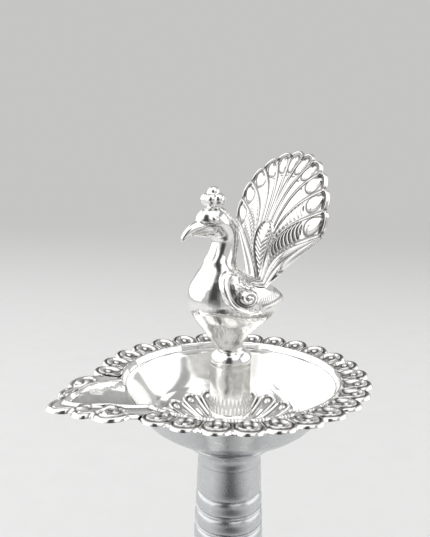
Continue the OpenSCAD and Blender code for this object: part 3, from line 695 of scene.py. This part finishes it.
# Rim border: a cast ring of scallops like the foot's, soldered on the pan's flange, with its scallops replaced at
# the spout by a large ear, a small lobe and one half of the pointed tip on either side.
RIM_CELLS = 29
SPOUT_CELLS = 4
RIM_TOP = RIM_Z - 0.5
RIM_LOW = RIM_Z - 1.48
rim_pitch = math.tau / RIM_CELLS
rim = scallop_border(MOUTH_R, RIM_LIP, RIM_CELLS, RIM_CELLS - SPOUT_CELLS, -math.pi / 2 + 2.5 * rim_pitch,
                     RIM_TOP, RIM_LOW, RIM_TILT)


def arc(centre, radius, start, end, steps):
    """A line of points on an arc between two angles in degrees."""
    points = []
    for i in range(steps + 1):
        angle = math.radians(start + (end - start) * i / steps)
        points.append((centre[0] + radius * math.cos(angle), centre[1] + radius * math.sin(angle)))
    return points


def path_lengths(path):
    """Distance along a line of points at each of them."""
    total = [0.0]
    for a, b in zip(path, path[1:]):
        total.append(total[-1] + math.dist(a, b))
    return total


def along_path(path, total, share):
    """The point at a share of a line's length."""
    want = share * total[-1]
    for k in range(len(path) - 1):
        if want <= total[k + 1] or k == len(path) - 2:
            t = (want - total[k]) / max(total[k + 1] - total[k], 1e-9)
            return tuple(a + (b - a) * t for a, b in zip(path[k], path[k + 1]))
    return path[-1]


def distance_to(path, p):
    """Shortest distance from a point to a line of points."""
    best = 1e9
    for a, b in zip(path, path[1:]):
        dx, dy = b[0] - a[0], b[1] - a[1]
        t = clamp(((p[0] - a[0]) * dx + (p[1] - a[1]) * dy) / max(dx * dx + dy * dy, 1e-9))
        best = min(best, math.hypot(p[0] - a[0] - t * dx, p[1] - a[1] - t * dy))
    return best


def joined(bm, *others):
    """Adds the other meshes to the first one."""
    for other in others:
        mesh = bpy.data.meshes.new("joined")
        other.to_mesh(mesh)
        other.free()
        bm.from_mesh(mesh)
        bpy.data.meshes.remove(mesh)
    return bm


SEAM = 2 * rim_pitch
lobe_r = RIM_LIP * math.sin(rim_pitch / 2)
seam_far = RIM_LIP - (1 - NOTCH) * lobe_r
spout_out = ([(seam_far * math.cos(SEAM), seam_far * math.sin(SEAM))] + arc((38.8, 10.2), 5.8, 112, 2, 26)
             + arc((44.9, 6.4), 3.6, 84, -18, 18) + arc((47.6, -1.2), 5.8, 76, 12.3, 18))
mouth_arc = arc((0, 0), MOUTH_R, math.degrees(SEAM), 17.3, 6)
spout_in = mouth_arc + cubic((28.7, TROUGH_HALF), *TROUGH_GUIDES, 30)
out_total = path_lengths(spout_out)
in_total = path_lengths(spout_in)
EAR_BEAD = (38.7, 11.7)
CURLS = [[(44.6, 10.3), (43.2, 9.6), (41.4, 9.0), (39.6, 9.1), (38.2, 9.6)],
         [(48.4, 5.1), (47.0, 5.0), (45.4, 5.2), (44.0, 5.9)]]
columns = 110
stations = section_rows(30, 4)
half_spout, painted_shade, spots = grid_sheet(columns, len(stations) - 1)
for v, i, j in spots:
    share = i / columns
    on_top, t = stations[j]
    far = along_path(spout_out, out_total, share)
    near = along_path(spout_in, in_total, share)
    p = tuple(a + (b - a) * t for a, b in zip(near, far))
    z = RIM_LOW
    if on_top:
        edge = distance_to(spout_out, p)
        rim_in = distance_to(spout_in, p)
        ear = math.dist(p, EAR_BEAD)
        curl = min(distance_to(line, p) for line in CURLS)
        height = round_over(edge, 1.1) + round_over(rim_in, 0.95) + 0.12 * hump(edge, 0.7, 0.4)
        height += 0.85 * hump(rim_in, 0.95, 0.55) + 0.4 * hump(curl, 0, 0.38)
        # Painted shade in the grooves behind the lip and the curls, and in the ear's dish round its bead.
        shade_amount = 0.85 * hump(edge, 1.4, 0.26) + 0.85 * hump(curl, 0.8, 0.28) + 0.7 * hump(rim_in, 1.95, 0.25)
        height -= 0.36 * hump(edge, 1.4, 0.28) + 0.26 * hump(curl, 0.8, 0.3)
        dish = dome(ear, 2.1)
        ball = dome(ear, 0.95)
        height += 0.42 * hump(ear, 2.6, 0.42) - 0.4 * dish + 0.65 * ball
        shade_amount += 0.85 * dish - 0.8 * ball
        z = max(RIM_TOP + height, RIM_LOW)
        v[painted_shade] = clamp(shade_amount)
    v.co = (p[1], -p[0], z + rim_lift(*p))
bmesh.ops.mirror(half_spout, geom=half_spout.verts[:] + half_spout.edges[:] + half_spout.faces[:],
                 matrix=Matrix.Identity(4), merge_dist=0.02, axis="X")
keep("rim_scallops", closed_up(joined(rim, half_spout)), polished, "stem", "silver", "rim_border", crease=70)

# Lotus plate: a stamped dish on the pan's floor, with eighteen petals in a rolled outline, a bead in each tip, the
# tips of a second row between them and a ring round the post, fluted at its foot. The post clamps it down.
LOTUS_R = 21.0
LOTUS_HOLE = 6.3
LOTUS_T = 0.35
LOTUS_TURN = 12.4
PETALS = 18
petal_pitch = math.tau / PETALS
petal_r = 0.80 * LOTUS_R * math.sin(petal_pitch / 2)
petal_centre = LOTUS_R - petal_r


def pan_floor(r):
    """Height of the pan's floor inside, at a distance from the axis."""
    for (r1, z1), (r0, z0) in zip(dish_in, dish_in[1:]):
        if r >= r0:
            return PAN_Z + z0 + (z1 - z0) * (r - r0) / (r1 - r0)
    return PAN_Z + dish_in[-1][1]


columns = 44
stations = section_rows(80, 12)
lotus, painted_shade, spots = grid_sheet(columns, len(stations) - 1)
for v, i, j in spots:
    angle = petal_pitch * (i / columns - 0.5)
    on_top, t = stations[j]
    reach = petal_centre * math.sin(angle)
    far = max(petal_centre * math.cos(angle) + math.sqrt(max(petal_r ** 2 - reach ** 2, 0)), petal_centre + 0.9)
    r = LOTUS_HOLE + t * (far - LOTUS_HOLE)
    x = r * math.cos(angle)
    s = r * math.sin(angle)
    z = pan_floor(r) + 0.02
    if on_top:
        if x > petal_centre:
            edge = petal_r - math.hypot(x - petal_centre, s)
        else:
            edge = petal_r * (0.3 + 0.7 * x / petal_centre) - abs(s)
        bead_at = math.hypot(x - petal_centre - 0.4, s)
        height = 0.6 * hump(edge, 0.5, 0.36) - 0.2 * clamp((0.1 - edge) / 0.3)
        height += 0.4 * hump(s, 0, 0.8) * clamp((petal_centre - 1.2 - x) / 2)
        height += 0.5 * clamp((x - 12) / 6) * clamp((edge + 0.2) / 0.3)
        # Painted shade along the petals' outlines and round the beads in their tips.
        shade_amount = 0.9 * hump(edge, 1.15, 0.22) + 0.95 * hump(edge, -0.12, 0.2) + 0.8 * hump(bead_at, 1.15, 0.2)
        ball = dome(bead_at, 0.95)
        height += 0.6 * ball
        shade_amount -= 0.8 * ball
        z = max(z + LOTUS_T + height, z)
        v[painted_shade] = clamp(shade_amount)
    v.co = (x, s, z)
bmesh.ops.rotate(lotus, verts=lotus.verts, cent=(0, 0, 0), matrix=Matrix.Rotation(math.radians(LOTUS_TURN), 3, "Z"))
bmesh.ops.spin(lotus, geom=lotus.verts[:] + lotus.edges[:] + lotus.faces[:], cent=(0, 0, 0), axis=(0, 0, 1),
               angle=petal_pitch * (PETALS - 1), steps=PETALS - 1, use_duplicate=True)
FLUTES = 28
FLUTES_TOP = 120.2
FLUTE_DEPTH = 0.1
HUB_BORE = 6.06
hub_profile = ([(HUB_BORE, 116.8), (8.9, 116.8)]
               + cubic((8.9, 117.3), (7.9, 118.0), (6.9, 118.7), (6.4, FLUTES_TOP), 18)
               + [(6.25, 121.2), (6.2, 124.2), (HUB_BORE, 124.4)])
hub = turned(hub_profile, FLUTES * 8)
painted_shade = hub.verts.layers.float.new("painted_shade")
for v in hub.verts:
    r = math.hypot(v.co.x, v.co.y)
    if r > 6.3:
        wave = math.cos(FLUTES * math.atan2(v.co.y, v.co.x)) * clamp(FLUTES_TOP - v.co.z)
        v.co.x *= 1 + FLUTE_DEPTH * wave / r
        v.co.y *= 1 + FLUTE_DEPTH * wave / r
        # Painted shade in the hollows of the flutes.
        v[painted_shade] = 0.6 * clamp(-wave)
keep("lotus_plate_stamped", closed_up(joined(lotus, hub)), polished, "stem", "silver", "lotus_plate", crease=70)

# Post: a plain tube of silver between pan and bird, cast and rubbed smooth but duller than the rest, with its edges
# broken. It is bored from both ends for the two screws.
rubbed = metal("rubbed_silver", SILVER_BRIGHT, SILVER_PAINTED_SHADE, rough=0.17, dull_rough=0.4,
               haze_scale=700, dent_scale=330, dent_depth=0.00009)
POST_Z = 122.7
post_profile = [(3.96, 0.02), (6, 0.02), (6, 15.38), (2.46, 15.38), (2.46, 9.4), (3.96, 8.5)]
keep("post_tube", turned(lifted(eased(post_profile, 0.08), POST_Z)), rubbed, "post", "silver", "post")

# Pedestal: a small domed cap of polished silver on the post, with a flush band below its dome. It is cast with a
# short neck, to which the bird is soldered, and screws down on the stud in the post.
PEDESTAL_Z = 138.1
pedestal_profile = ([(2.46, 0.02), (5.96, 0.02), (6, 0.06), (6, 0.9), (5.8, 1.0), (5.95, 1.12)]
                    + cubic((6.02, 1.2), (6.0, 2.9), (4.9, 4.0), (3.4, 4.7), 16) + [(3.3, 4.9), (3.5, 5.3)]
                    + [(0, 5.3), (0, 4.2), (2.46, 4.15)])
keep("pedestal_dome", turned(lifted(pedestal_profile, PEDESTAL_Z)), polished, "bird", "silver", "pedestal")

# Peacock: body, neck and head in one hollow casting, polished, with a hooked beak, beaded eyes and ribbed feathers
# chased on the rump. It is soldered to the pedestal.
BIRD_Z = 143.4
BIRD_TURN = Matrix.Rotation(math.radians(6.4), 3, "Z")
BODY = ((-0.5, 1.0, 3.8, 3.8, 3.7), (1.2, 1.2, 4.5, 4.4, 4.3), (3.5, 1.3, 6.3, 6.2, 5.7), (5.8, 1.2, 7.9, 10, 7.2),
        (8.3, 1.2, 10, 14.7, 8.5), (11.5, 1.2, 11.9, 18.4, 9.4), (13.8, 1.2, 12.4, 17, 9.6),
        (16.3, 1.2, 12.2, 13.8, 9.3), (18.8, 2, 10.5, 9.4, 8.4), (21.3, 3.4, 7.3, 6.4, 6.7),
        (23.4, 4.2, 5, 4.3, 5.2), (25.3, 4.4, 4.3, 4.5, 4.3), (27.3, 3.6, 3.75, 4.1, 3.85),
        (29.8, 2.95, 3.5, 4.0, 3.7), (31.8, 3.2, 3.6, 4.3, 3.75), (33.8, 4.3, 4.7, 5.1, 4.05),
        (35.8, 5.3, 6.4, 4.7, 4.2), (37.4, 6.1, 5.5, 4.2, 3.6), (38.7, 6.5, 4.1, 3.6, 2.7),
        (39.6, 6.6, 2.6, 2.4, 1.7))
BEAK = ((7.4, 34.6, 3.2, 3.0), (10.2, 34.4, 2.5, 2.45), (12.2, 34.15, 2.0, 1.9), (13.8, 33.65, 1.7, 1.5),
        (15.0, 33.0, 1.4, 1.2), (16.0, 32.2, 1.1, 0.9), (16.7, 31.5, 0.6, 0.5))
JAW_AT = (0, -9.6, 33.5)
JAW_SIZE = (2.2, 3.1, 1.9)


def between(rows, x):
    """Smooth values between the stations of a list."""
    last = len(rows) - 1
    k = min(int(x), last - 1)
    t = x - k
    four = (rows[max(k - 1, 0)], rows[k], rows[k + 1], rows[min(k + 2, last)])
    return [p1 + 0.5 * t * (p2 - p0 + t * (2 * p0 - 5 * p1 + 4 * p2 - p3 + t * (3 * (p1 - p2) + p3 - p0)))
            for p0, p1, p2, p3 in zip(*four)]


def lofted(rings, sides, shape):
    """A closed skin over rings, each made from a circle by the shape given for it."""
    bm = bmesh.new()
    loops = []
    for ring in rings:
        made = bmesh.ops.create_circle(bm, segments=sides, radius=1)["verts"]
        for v in made:
            v.co = shape(ring, v.co.x, v.co.y)
        loops.append(made)
    for low, high in zip(loops, loops[1:]):
        both = set(low) | set(high)
        open_edges = [e for e in bm.edges if e.is_wire or e.is_boundary]
        bmesh.ops.bridge_loops(bm, edges=[e for e in open_edges if e.verts[0] in both and e.verts[1] in both])
    bmesh.ops.holes_fill(bm, edges=bm.edges)
    bmesh.ops.recalc_face_normals(bm, faces=bm.faces)
    return bm


body_rings = [between(BODY, k / 4) for k in range(4 * (len(BODY) - 1) + 1)]
beak_rings = [between(BEAK, k / 5) for k in range(5 * (len(BEAK) - 1) + 1)]


def body_point(ring, x, y):
    """A point of the body's skin, from a station's height, middle, reach to front and back, and half width."""
    tall, middle, front, back, half = ring
    return half * x, -middle + y * (front if y < 0 else back), tall


def beak_point(ring, x, y):
    """A point of the beak's skin, from a station's place forward, height, half depth and half width."""
    forward, tall, shade_amount, half = ring
    return half * x, -forward, tall + shade_amount * y


bird = lofted(body_rings, 64, body_point)
beak = lofted(beak_rings, 28, beak_point)


def cast(bm, voxel, smoothing):
    """One even skin round overlapping shapes, as a casting has, with its steps rubbed smooth."""
    mesh = bpy.data.meshes.new("pattern")
    bm.to_mesh(mesh)
    bm.free()
    pattern = bpy.data.objects.new("pattern", mesh)
    bpy.context.scene.collection.objects.link(pattern)
    skin = pattern.modifiers.new("skin", "REMESH")
    skin.mode = "VOXEL"
    skin.voxel_size = voxel
    rub = pattern.modifiers.new("rub", "SMOOTH")
    rub.factor = 0.5
    rub.iterations = smoothing
    done = bpy.data.meshes.new_from_object(pattern.evaluated_get(bpy.context.evaluated_depsgraph_get()))
    bm = bmesh.new()
    bm.from_mesh(done)
    bpy.data.objects.remove(pattern)
    bpy.data.meshes.remove(mesh)
    bpy.data.meshes.remove(done)
    return bm


jaw = bmesh.new()
bmesh.ops.create_icosphere(jaw, subdivisions=4, radius=1)
bmesh.ops.scale(jaw, vec=JAW_SIZE, verts=jaw.verts)
bmesh.ops.translate(jaw, verts=jaw.verts, vec=JAW_AT)
bird = cast(joined(bird, beak, jaw), 0.2, 6)
painted_shade = bird.verts.layers.float.new("painted_shade")
GAPE = [(14.0, 32.9), (12.6, 33.7), (10.8, 34.5), (8.8, 35.2), (7.0, 35.9)]
EYE = (8.2, 36.9)
bird.normal_update()
# Painted shade: darker colour in the gape, round the eyes, along the mane's edge and grain, and between the rump's
# ribs.
for v in bird.verts:
    forward, tall = -v.co.y, v.co.z
    push = 0.06 * noise.noise(v.co * 0.3) + 0.008 * noise.noise(v.co * 0.9)
    shade_amount = 0.0
    if tall > 30:
        gape = distance_to(GAPE, (forward, tall))
        push -= 0.20 * hump(gape, 0, 0.3)
        shade_amount += 0.5 * hump(gape, 0, 0.24)
        if abs(v.co.x) > 1.5 and forward > 4:
            ring = math.dist((forward, tall), EYE)
            push += 0.18 * hump(ring, 0, 0.45) - 0.06 * hump(ring, 0.8, 0.2)
            shade_amount += 0.35 * hump(ring, 0.8, 0.18)
    mane_at = 1.2 + 0.09 * (34 - tall) if tall < 34 else 1.2 + 0.9 * (tall - 34)
    if 20 < tall < 40 and forward < mane_at + 1 and tall - forward > 18:
        inside = clamp((mane_at - forward) / 0.3) * clamp((tall - 21) / 2)
        grain = noise.noise(v.co * 1.3)
        push += inside * (0.12 + 0.14 * grain) - 0.1 * hump(forward, mane_at + 0.15, 0.25) * clamp((tall - 21) / 2)
        shade_amount += inside * 0.7 * clamp(-2.2 * grain - 0.2)
        shade_amount += 0.7 * hump(forward, mane_at + 0.15, 0.22) * clamp((tall - 21) / 2)
    if forward < -2 and 9 < tall < 20:
        line = 12.0 + 0.10 * (-3 - forward)
        here = clamp((-2.4 - forward) / 0.8)
        inside = clamp((tall - line) / 0.5) * clamp((line + 3.6 - tall) / 1.2) * here
        rib = math.sin(math.tau * (forward + 0.65 * tall) / 0.95)
        push += inside * 0.2 * rib + 0.25 * hump(tall, line, 0.4) * here
        shade_amount += inside * 0.75 * clamp(-rib) + 0.6 * hump(tall, line + 0.75, 0.25) * here
    v.co += v.normal * push
    v[painted_shade] = clamp(shade_amount)


def to_bird(bm):
    """Takes a mesh from the bird's own place and heading to the lamp's."""
    bmesh.ops.rotate(bm, verts=bm.verts, cent=(0, 0, 0), matrix=BIRD_TURN)
    bmesh.ops.translate(bm, verts=bm.verts, vec=(0, 0, BIRD_Z))
    return bm


keep("peacock_casting", to_bird(bird), polished, "bird", "silver", "peacock_body", crease=80)

# Crest: five rounded knobs round a sixth, on a short neck, cast in silver by itself and polished. It is soldered on
# the crown of the head.
HEAD_TOP = (39.3, 6.6)
KNOBS = 5
KNOB_R = 1.85
KNOB_RING = 1.75
crest = bmesh.new()
bmesh.ops.create_cone(crest, cap_ends=True, segments=32, radius1=1.9, radius2=1.3, depth=2.2,
                      matrix=Matrix.Translation((0, 0, 0.9)))
for k in range(KNOBS):
    angle = math.pi / 2 + math.tau * k / KNOBS
    spot = (KNOB_RING * math.cos(angle), KNOB_RING * math.sin(angle), 2.35)
    bmesh.ops.create_icosphere(crest, subdivisions=3, radius=KNOB_R, matrix=Matrix.Translation(spot))
bmesh.ops.create_icosphere(crest, subdivisions=3, radius=1.8, matrix=Matrix.Translation((0, 0, 4.2)))
crest = cast(crest, 0.12, 14)
bmesh.ops.translate(crest, verts=crest.verts, vec=(0, -HEAD_TOP[1], HEAD_TOP[0]))
keep("crest_knobs", to_bird(crest), polished, "bird", "silver", "crest", crease=80)

# Wings: two thin castings soldered on the flanks, with a plain raised border in front, scales inside it and a
# coiled boss near the tip.
WING_TIP = (-4.2, 10.8)
WING_EDGE = (cubic(WING_TIP, (-0.6, 10.4), (7.8, 10.6), (8.6, 17.4), 30)
             + cubic((8.7, 18.2), (8.8, 23.6), (3.8, 24.6), (0.6, 21.8), 22)
             + cubic((0.2, 21.4), (-1.6, 19.2), (-2.6, 15), WING_TIP, 22))
WING_MIDDLE = (2.6, 16.6)
BOSS = (2.1, 16.0)


def flank(forward, tall):
    """Half width of the body where a flank point lies."""
    x = 0
    while x < len(BODY) - 2 and BODY[x + 1][0] < tall:
        x += 1
    low, high = BODY[x][0], BODY[x + 1][0]
    row = between(BODY, x + (tall - low) / (high - low))
    off = forward - row[1]
    return row[4] * math.sqrt(max(1 - (off / (row[2] if off > 0 else row[3])) ** 2, 0.02))


def wing_relief(p, share):
    """Height of the wing over the flank, and how much painted shade darkens it, at a share of the way to its edge.
    """
    edge = distance_to(WING_EDGE, p)
    front = clamp((p[0] - 0.5 - 0.35 * (p[1] - 12)) / 2.2) if p[1] > 12 else clamp((p[0] + 2) / 3)
    height = 0.3 + 0.8 * (1 - share ** 3) + 0.45 * hump(edge, 0.7, 0.65) * front
    hollow = hump(edge, 2.2, 0.75) * front
    height -= 0.55 * hollow
    shade_amount = 0.55 * hollow
    inside = clamp((edge - 2.2 * front - 0.3) / 0.8)
    coil = math.hypot((p[0] - BOSS[0]) / 2.8, (p[1] - BOSS[1]) / 1.95)
    on_coil = clamp((1.12 - coil) / 0.12)
    turn = math.cos(math.atan2(p[1] - BOSS[1], p[0] - BOSS[0]) - 9.5 * coil)
    height += on_coil * (0.75 * math.sqrt(max(1 - coil * coil / 1.26, 0)) + 0.2 * turn)
    shade_amount += on_coil * 0.9 * clamp(-1.8 * turn - 0.7) + 0.8 * hump(coil, 1.2, 0.08)
    grain = noise.noise(Vector((p[0] * 1.9, p[1] * 1.9, 0)))
    cover = inside * (1 - on_coil)
    height += cover * 0.2 * grain
    shade_amount += cover * 0.75 * clamp(-2.6 * grain - 0.25)
    height += round_over(edge, 0.6) * 0.7
    return height, clamp(shade_amount)


def wing(side):
    """One wing as rings that shrink from its outline to its middle, laid on the flank."""
    rings = 46
    count = len(WING_EDGE) - 1
    bm, painted_shade, spots = grid_sheet(count, rings + 2)
    for v, i, j in spots:
        edge = WING_EDGE[i]
        share = 1.0 if j >= rings else j / rings
        p = tuple(m + (e - m) * share for m, e in zip(WING_MIDDLE, edge))
        out = flank(*p)
        rise, shade_amount = wing_relief(p, share)
        if j > rings:
            rise = -0.35
        # Painted shade in the hollow inside the border, between the coil's turns, round the boss and in the pits of
        # the scales.
        v[painted_shade] = shade_amount if j <= rings else 0
        v.co = (side * (out + rise), -p[0], p[1])
    return closed_up(bm, 0.002)


for side, name, node in ((1, "wing_left_chased", "wing_left"), (-1, "wing_right_chased", "wing_right")):
    keep(name, to_bird(wing(side)), polished, "bird", "silver", node, crease=70)

# Tail fan: one casting that leans back behind the wings, soldered in the rump. Eleven plumes rise round a short
# one in the middle and curve outwards, each with an eye in its round tip, between two smooth doubled side bands.
PLUMES = 11
FAN_R = 48.8
FAN_DROP = 15.2
FAN_T = 1.5
FAN_LEAN = Matrix.Rotation(math.radians(-20), 3, "X")
FAN_FOOT = Vector((0, 6.6, 8.4))
FAN_BULGE = 3.2
FAN_HALF = 36.8
FAN_ROOT = 7
TEAR_HALF = 3.9
TEAR_TOP = 27.0
TEAR_FALL = 19
TEAR_SHARE = 0.22
BAND_FROM = 0.92


def plume_number(across):
    """Nearest plume's number, and the cross position within it from -1 to 1."""
    lobe = across * PLUMES / 2
    return round(lobe), 2 * (lobe - round(lobe))


def plume_end(across):
    """How far from the fan's root a plume's tip lies, with its round end."""
    off = plume_number(across)[1]
    return FAN_R - FAN_DROP * across * across - 2.2 * (1 - math.sqrt(1 - off * off * 0.96))


def plume_path(across, t):
    """Point on a plume's line, which leaves the middle plume's edge and curves outwards to its tip."""
    s = abs(across)
    end_at = math.radians(FAN_HALF * s)
    end_r = plume_end(across)
    start = (max(TEAR_HALF * math.sin(math.pi * s ** 1.55), s), TEAR_TOP - TEAR_FALL * s ** 3)
    end = (end_r * math.sin(end_at), end_r * math.cos(end_at))
    span = math.dist(start, end)
    bow = math.radians(62 * min(1, s / 0.5) ** 0.9)
    rise = (start[0] + 0.12 * span * s, start[1] + 0.42 * span)
    back = (end[0] - 0.38 * span * math.sin(bow), end[1] - 0.38 * span * math.cos(bow))
    x, z = on_cubic((start, rise, back, end), t)
    return math.copysign(x, across), z


def fan_edge(t):
    """Point on the fan's straight side."""
    r = FAN_ROOT + t * (plume_end(1) - FAN_ROOT)
    a = math.radians(29.5 + 8 * t ** 0.8 + 8 * (1 - t) ** 12)
    return r * math.sin(a), r * math.cos(a)


def fan_spot(x, t):
    """Place on the fan's face for a position across it and from its middle line outwards."""
    band = clamp((abs(x) - BAND_FROM) / (1 - BAND_FROM))
    across = math.copysign(min(abs(x) / BAND_FROM, 1), x)
    far = max(t - TEAR_SHARE, 0) / (1 - TEAR_SHARE)
    u, up = plume_path(across, far)
    if band > 0:
        side, high = fan_edge(far)
        u = math.copysign(abs(u) + band * (side - abs(u)), x)
        up += band * (high - up)
    if t < TEAR_SHARE:
        share = t / TEAR_SHARE
        middle_up = TEAR_TOP - TEAR_FALL * abs(across) ** 3
        u *= share
        up = middle_up + share * (up - middle_up)
    return u, up, across, far, band


def fan_stand(u, up):
    """How far the fan's face stands forward: its middle bulges, and its roots curl round the back."""
    a = math.degrees(math.atan2(abs(u), max(up, 0.1))) / FAN_HALF
    t = clamp((math.hypot(u, up) - FAN_ROOT) / 36)
    rise = clamp((up - 8) / 13)
    bulge = FAN_BULGE * rise * rise * (3 - 2 * rise) * max(1 - a * a, 0) * (1 - clamp((up - 24) / 24) ** 1.6)
    return bulge + 2.4 * (1 - t) ** 4 * min(a, 1.2) ** 2


def plume_relief(t, u, up, across, far, band):
    """Height of the fan's face over its stand, and how much painted shade darkens it."""
    if t < TEAR_SHARE:
        half = max(TEAR_HALF * math.sin(math.pi * abs(across) ** 1.55), abs(across))
        edge = min((1 - t / TEAR_SHARE) * half, TEAR_TOP - up)
        rise = 0.3 + 0.55 * hump(edge, 0.4, 0.32)
        shade_amount = 0.95 * hump(edge, 0.95, 0.2)
        boss = clamp(1 - math.hypot(u / 1.7, (up - 23.6) / 3.0))
        if boss > 0:
            return rise + 0.6 * math.sqrt(boss), clamp(shade_amount * 0.5)
        wave = math.cos(math.tau * (up - 0.8 * abs(u)) / 1.2)
        inside = clamp((edge - 0.9) / 0.4)
        return rise + 0.2 * wave * inside, clamp(shade_amount + 0.9 * inside * clamp(-1.2 * wave))
    if band > 0:
        ridge = hump(band, 0.74, 0.2) + 0.75 * hump(band, 0.26, 0.16)
        return 0.45 * ridge, clamp(0.9 * hump(band, 0.5, 0.08) + 0.8 * hump(band, 0.0, 0.1))
    number, q = plume_number(across)
    near = plume_path(max(min(across - 1 / PLUMES, 1), -1), far)
    next_to = plume_path(max(min(across + 1 / PLUMES, 1), -1), far)
    half = math.dist(near, next_to) / 2
    size = clamp(half / 1.4)
    tip = (1 - far) * 1.1 * math.dist(plume_path(across, 0), plume_path(across, 1))
    side = (1 - abs(q)) * half
    height = size * 0.30 * hump(side, 0, 0.3)
    shade_amount = 0.95 * hump(side, 0.42, 0.2) * clamp(half / 0.7)
    if abs(q) < 0.74 and tip > 8.4:
        height += size * 0.36 * (1 - abs(q / 0.74) ** 2.4) * clamp((tip - 8.4) / 0.8)
    eye_at = math.hypot((tip - 4.6) / 2.8, q / 0.66)
    height += 0.55 * dome(eye_at, 1) * max(size, 0.6)
    if tip < 8.5:
        shade_amount = max(shade_amount, 0.95 * hump(eye_at, 1.14, 0.13))
    height += 0.5 * hump(tip, 0.45, 0.4)
    behind_rim = clamp((tip - 0.8) / 0.15) * clamp((2.1 - tip) / 0.3) * clamp((0.86 - abs(q)) / 0.1)
    behind_rim *= clamp((eye_at - 1.02) / 0.1) * (0.55 + 0.09 * abs(number))
    height -= 0.3 * behind_rim
    shade_amount = max(shade_amount, behind_rim)
    if abs(number) >= 4 and tip > 8.4:
        wave = math.cos(math.tau * (tip + 2.4 * q * q) / 1.5)
        there = clamp((24 - tip) / 4) * (1.0 if abs(number) == 5 else 0.5)
        height += 0.16 * size * wave * there
        shade_amount = max(shade_amount, 0.85 * clamp(-1.5 * wave - 0.3) * there)
    return height, clamp(shade_amount)


columns = 312
front_rows, back_rows = 200, 44
fan, painted_shade, spots = grid_sheet(columns, front_rows + back_rows + 1)
for v, i, j in spots:
    x = 2 * i / columns - 1
    front = j <= front_rows
    t = j / front_rows if front else 1 - (j - front_rows - 1) / back_rows
    u, up, across, far, band = fan_spot(x, t)
    thick = FAN_T / 2 * math.sqrt(max(1 - abs(x) ** 40, 0)) * (0.4 + 0.6 * math.sqrt(max(1 - t ** 30, 0)))
    stand = fan_stand(u, up)
    if front:
        rise, shade_amount = plume_relief(t, u, up, across, far, band)
        fade = clamp((1 - abs(x)) / 0.012) * clamp((1 - t) / 0.01)
        depth = stand + thick - 0.35 + rise * fade
        # Painted shade along the plumes' sides, round the eyes, behind the tips' rims, in the barbs' waves and in
        # the teardrop's chevrons.
        v[painted_shade] = shade_amount
    else:
        q = plume_number(across)[1]
        depth = 0.8 * stand - thick + 0.2 - 0.3 * math.sqrt(max(1 - q * q, 0)) * clamp((far - 0.2) / 0.3)
    if abs(x) >= 1 or t >= 1:
        depth = stand
    v.co = FAN_FOOT + FAN_LEAN @ Vector((u, -depth, up))
keep("tail_fan_plumes", to_bird(closed_up(fan, 0.003)), polished, "bird", "silver", "tail_fan", crease=75)
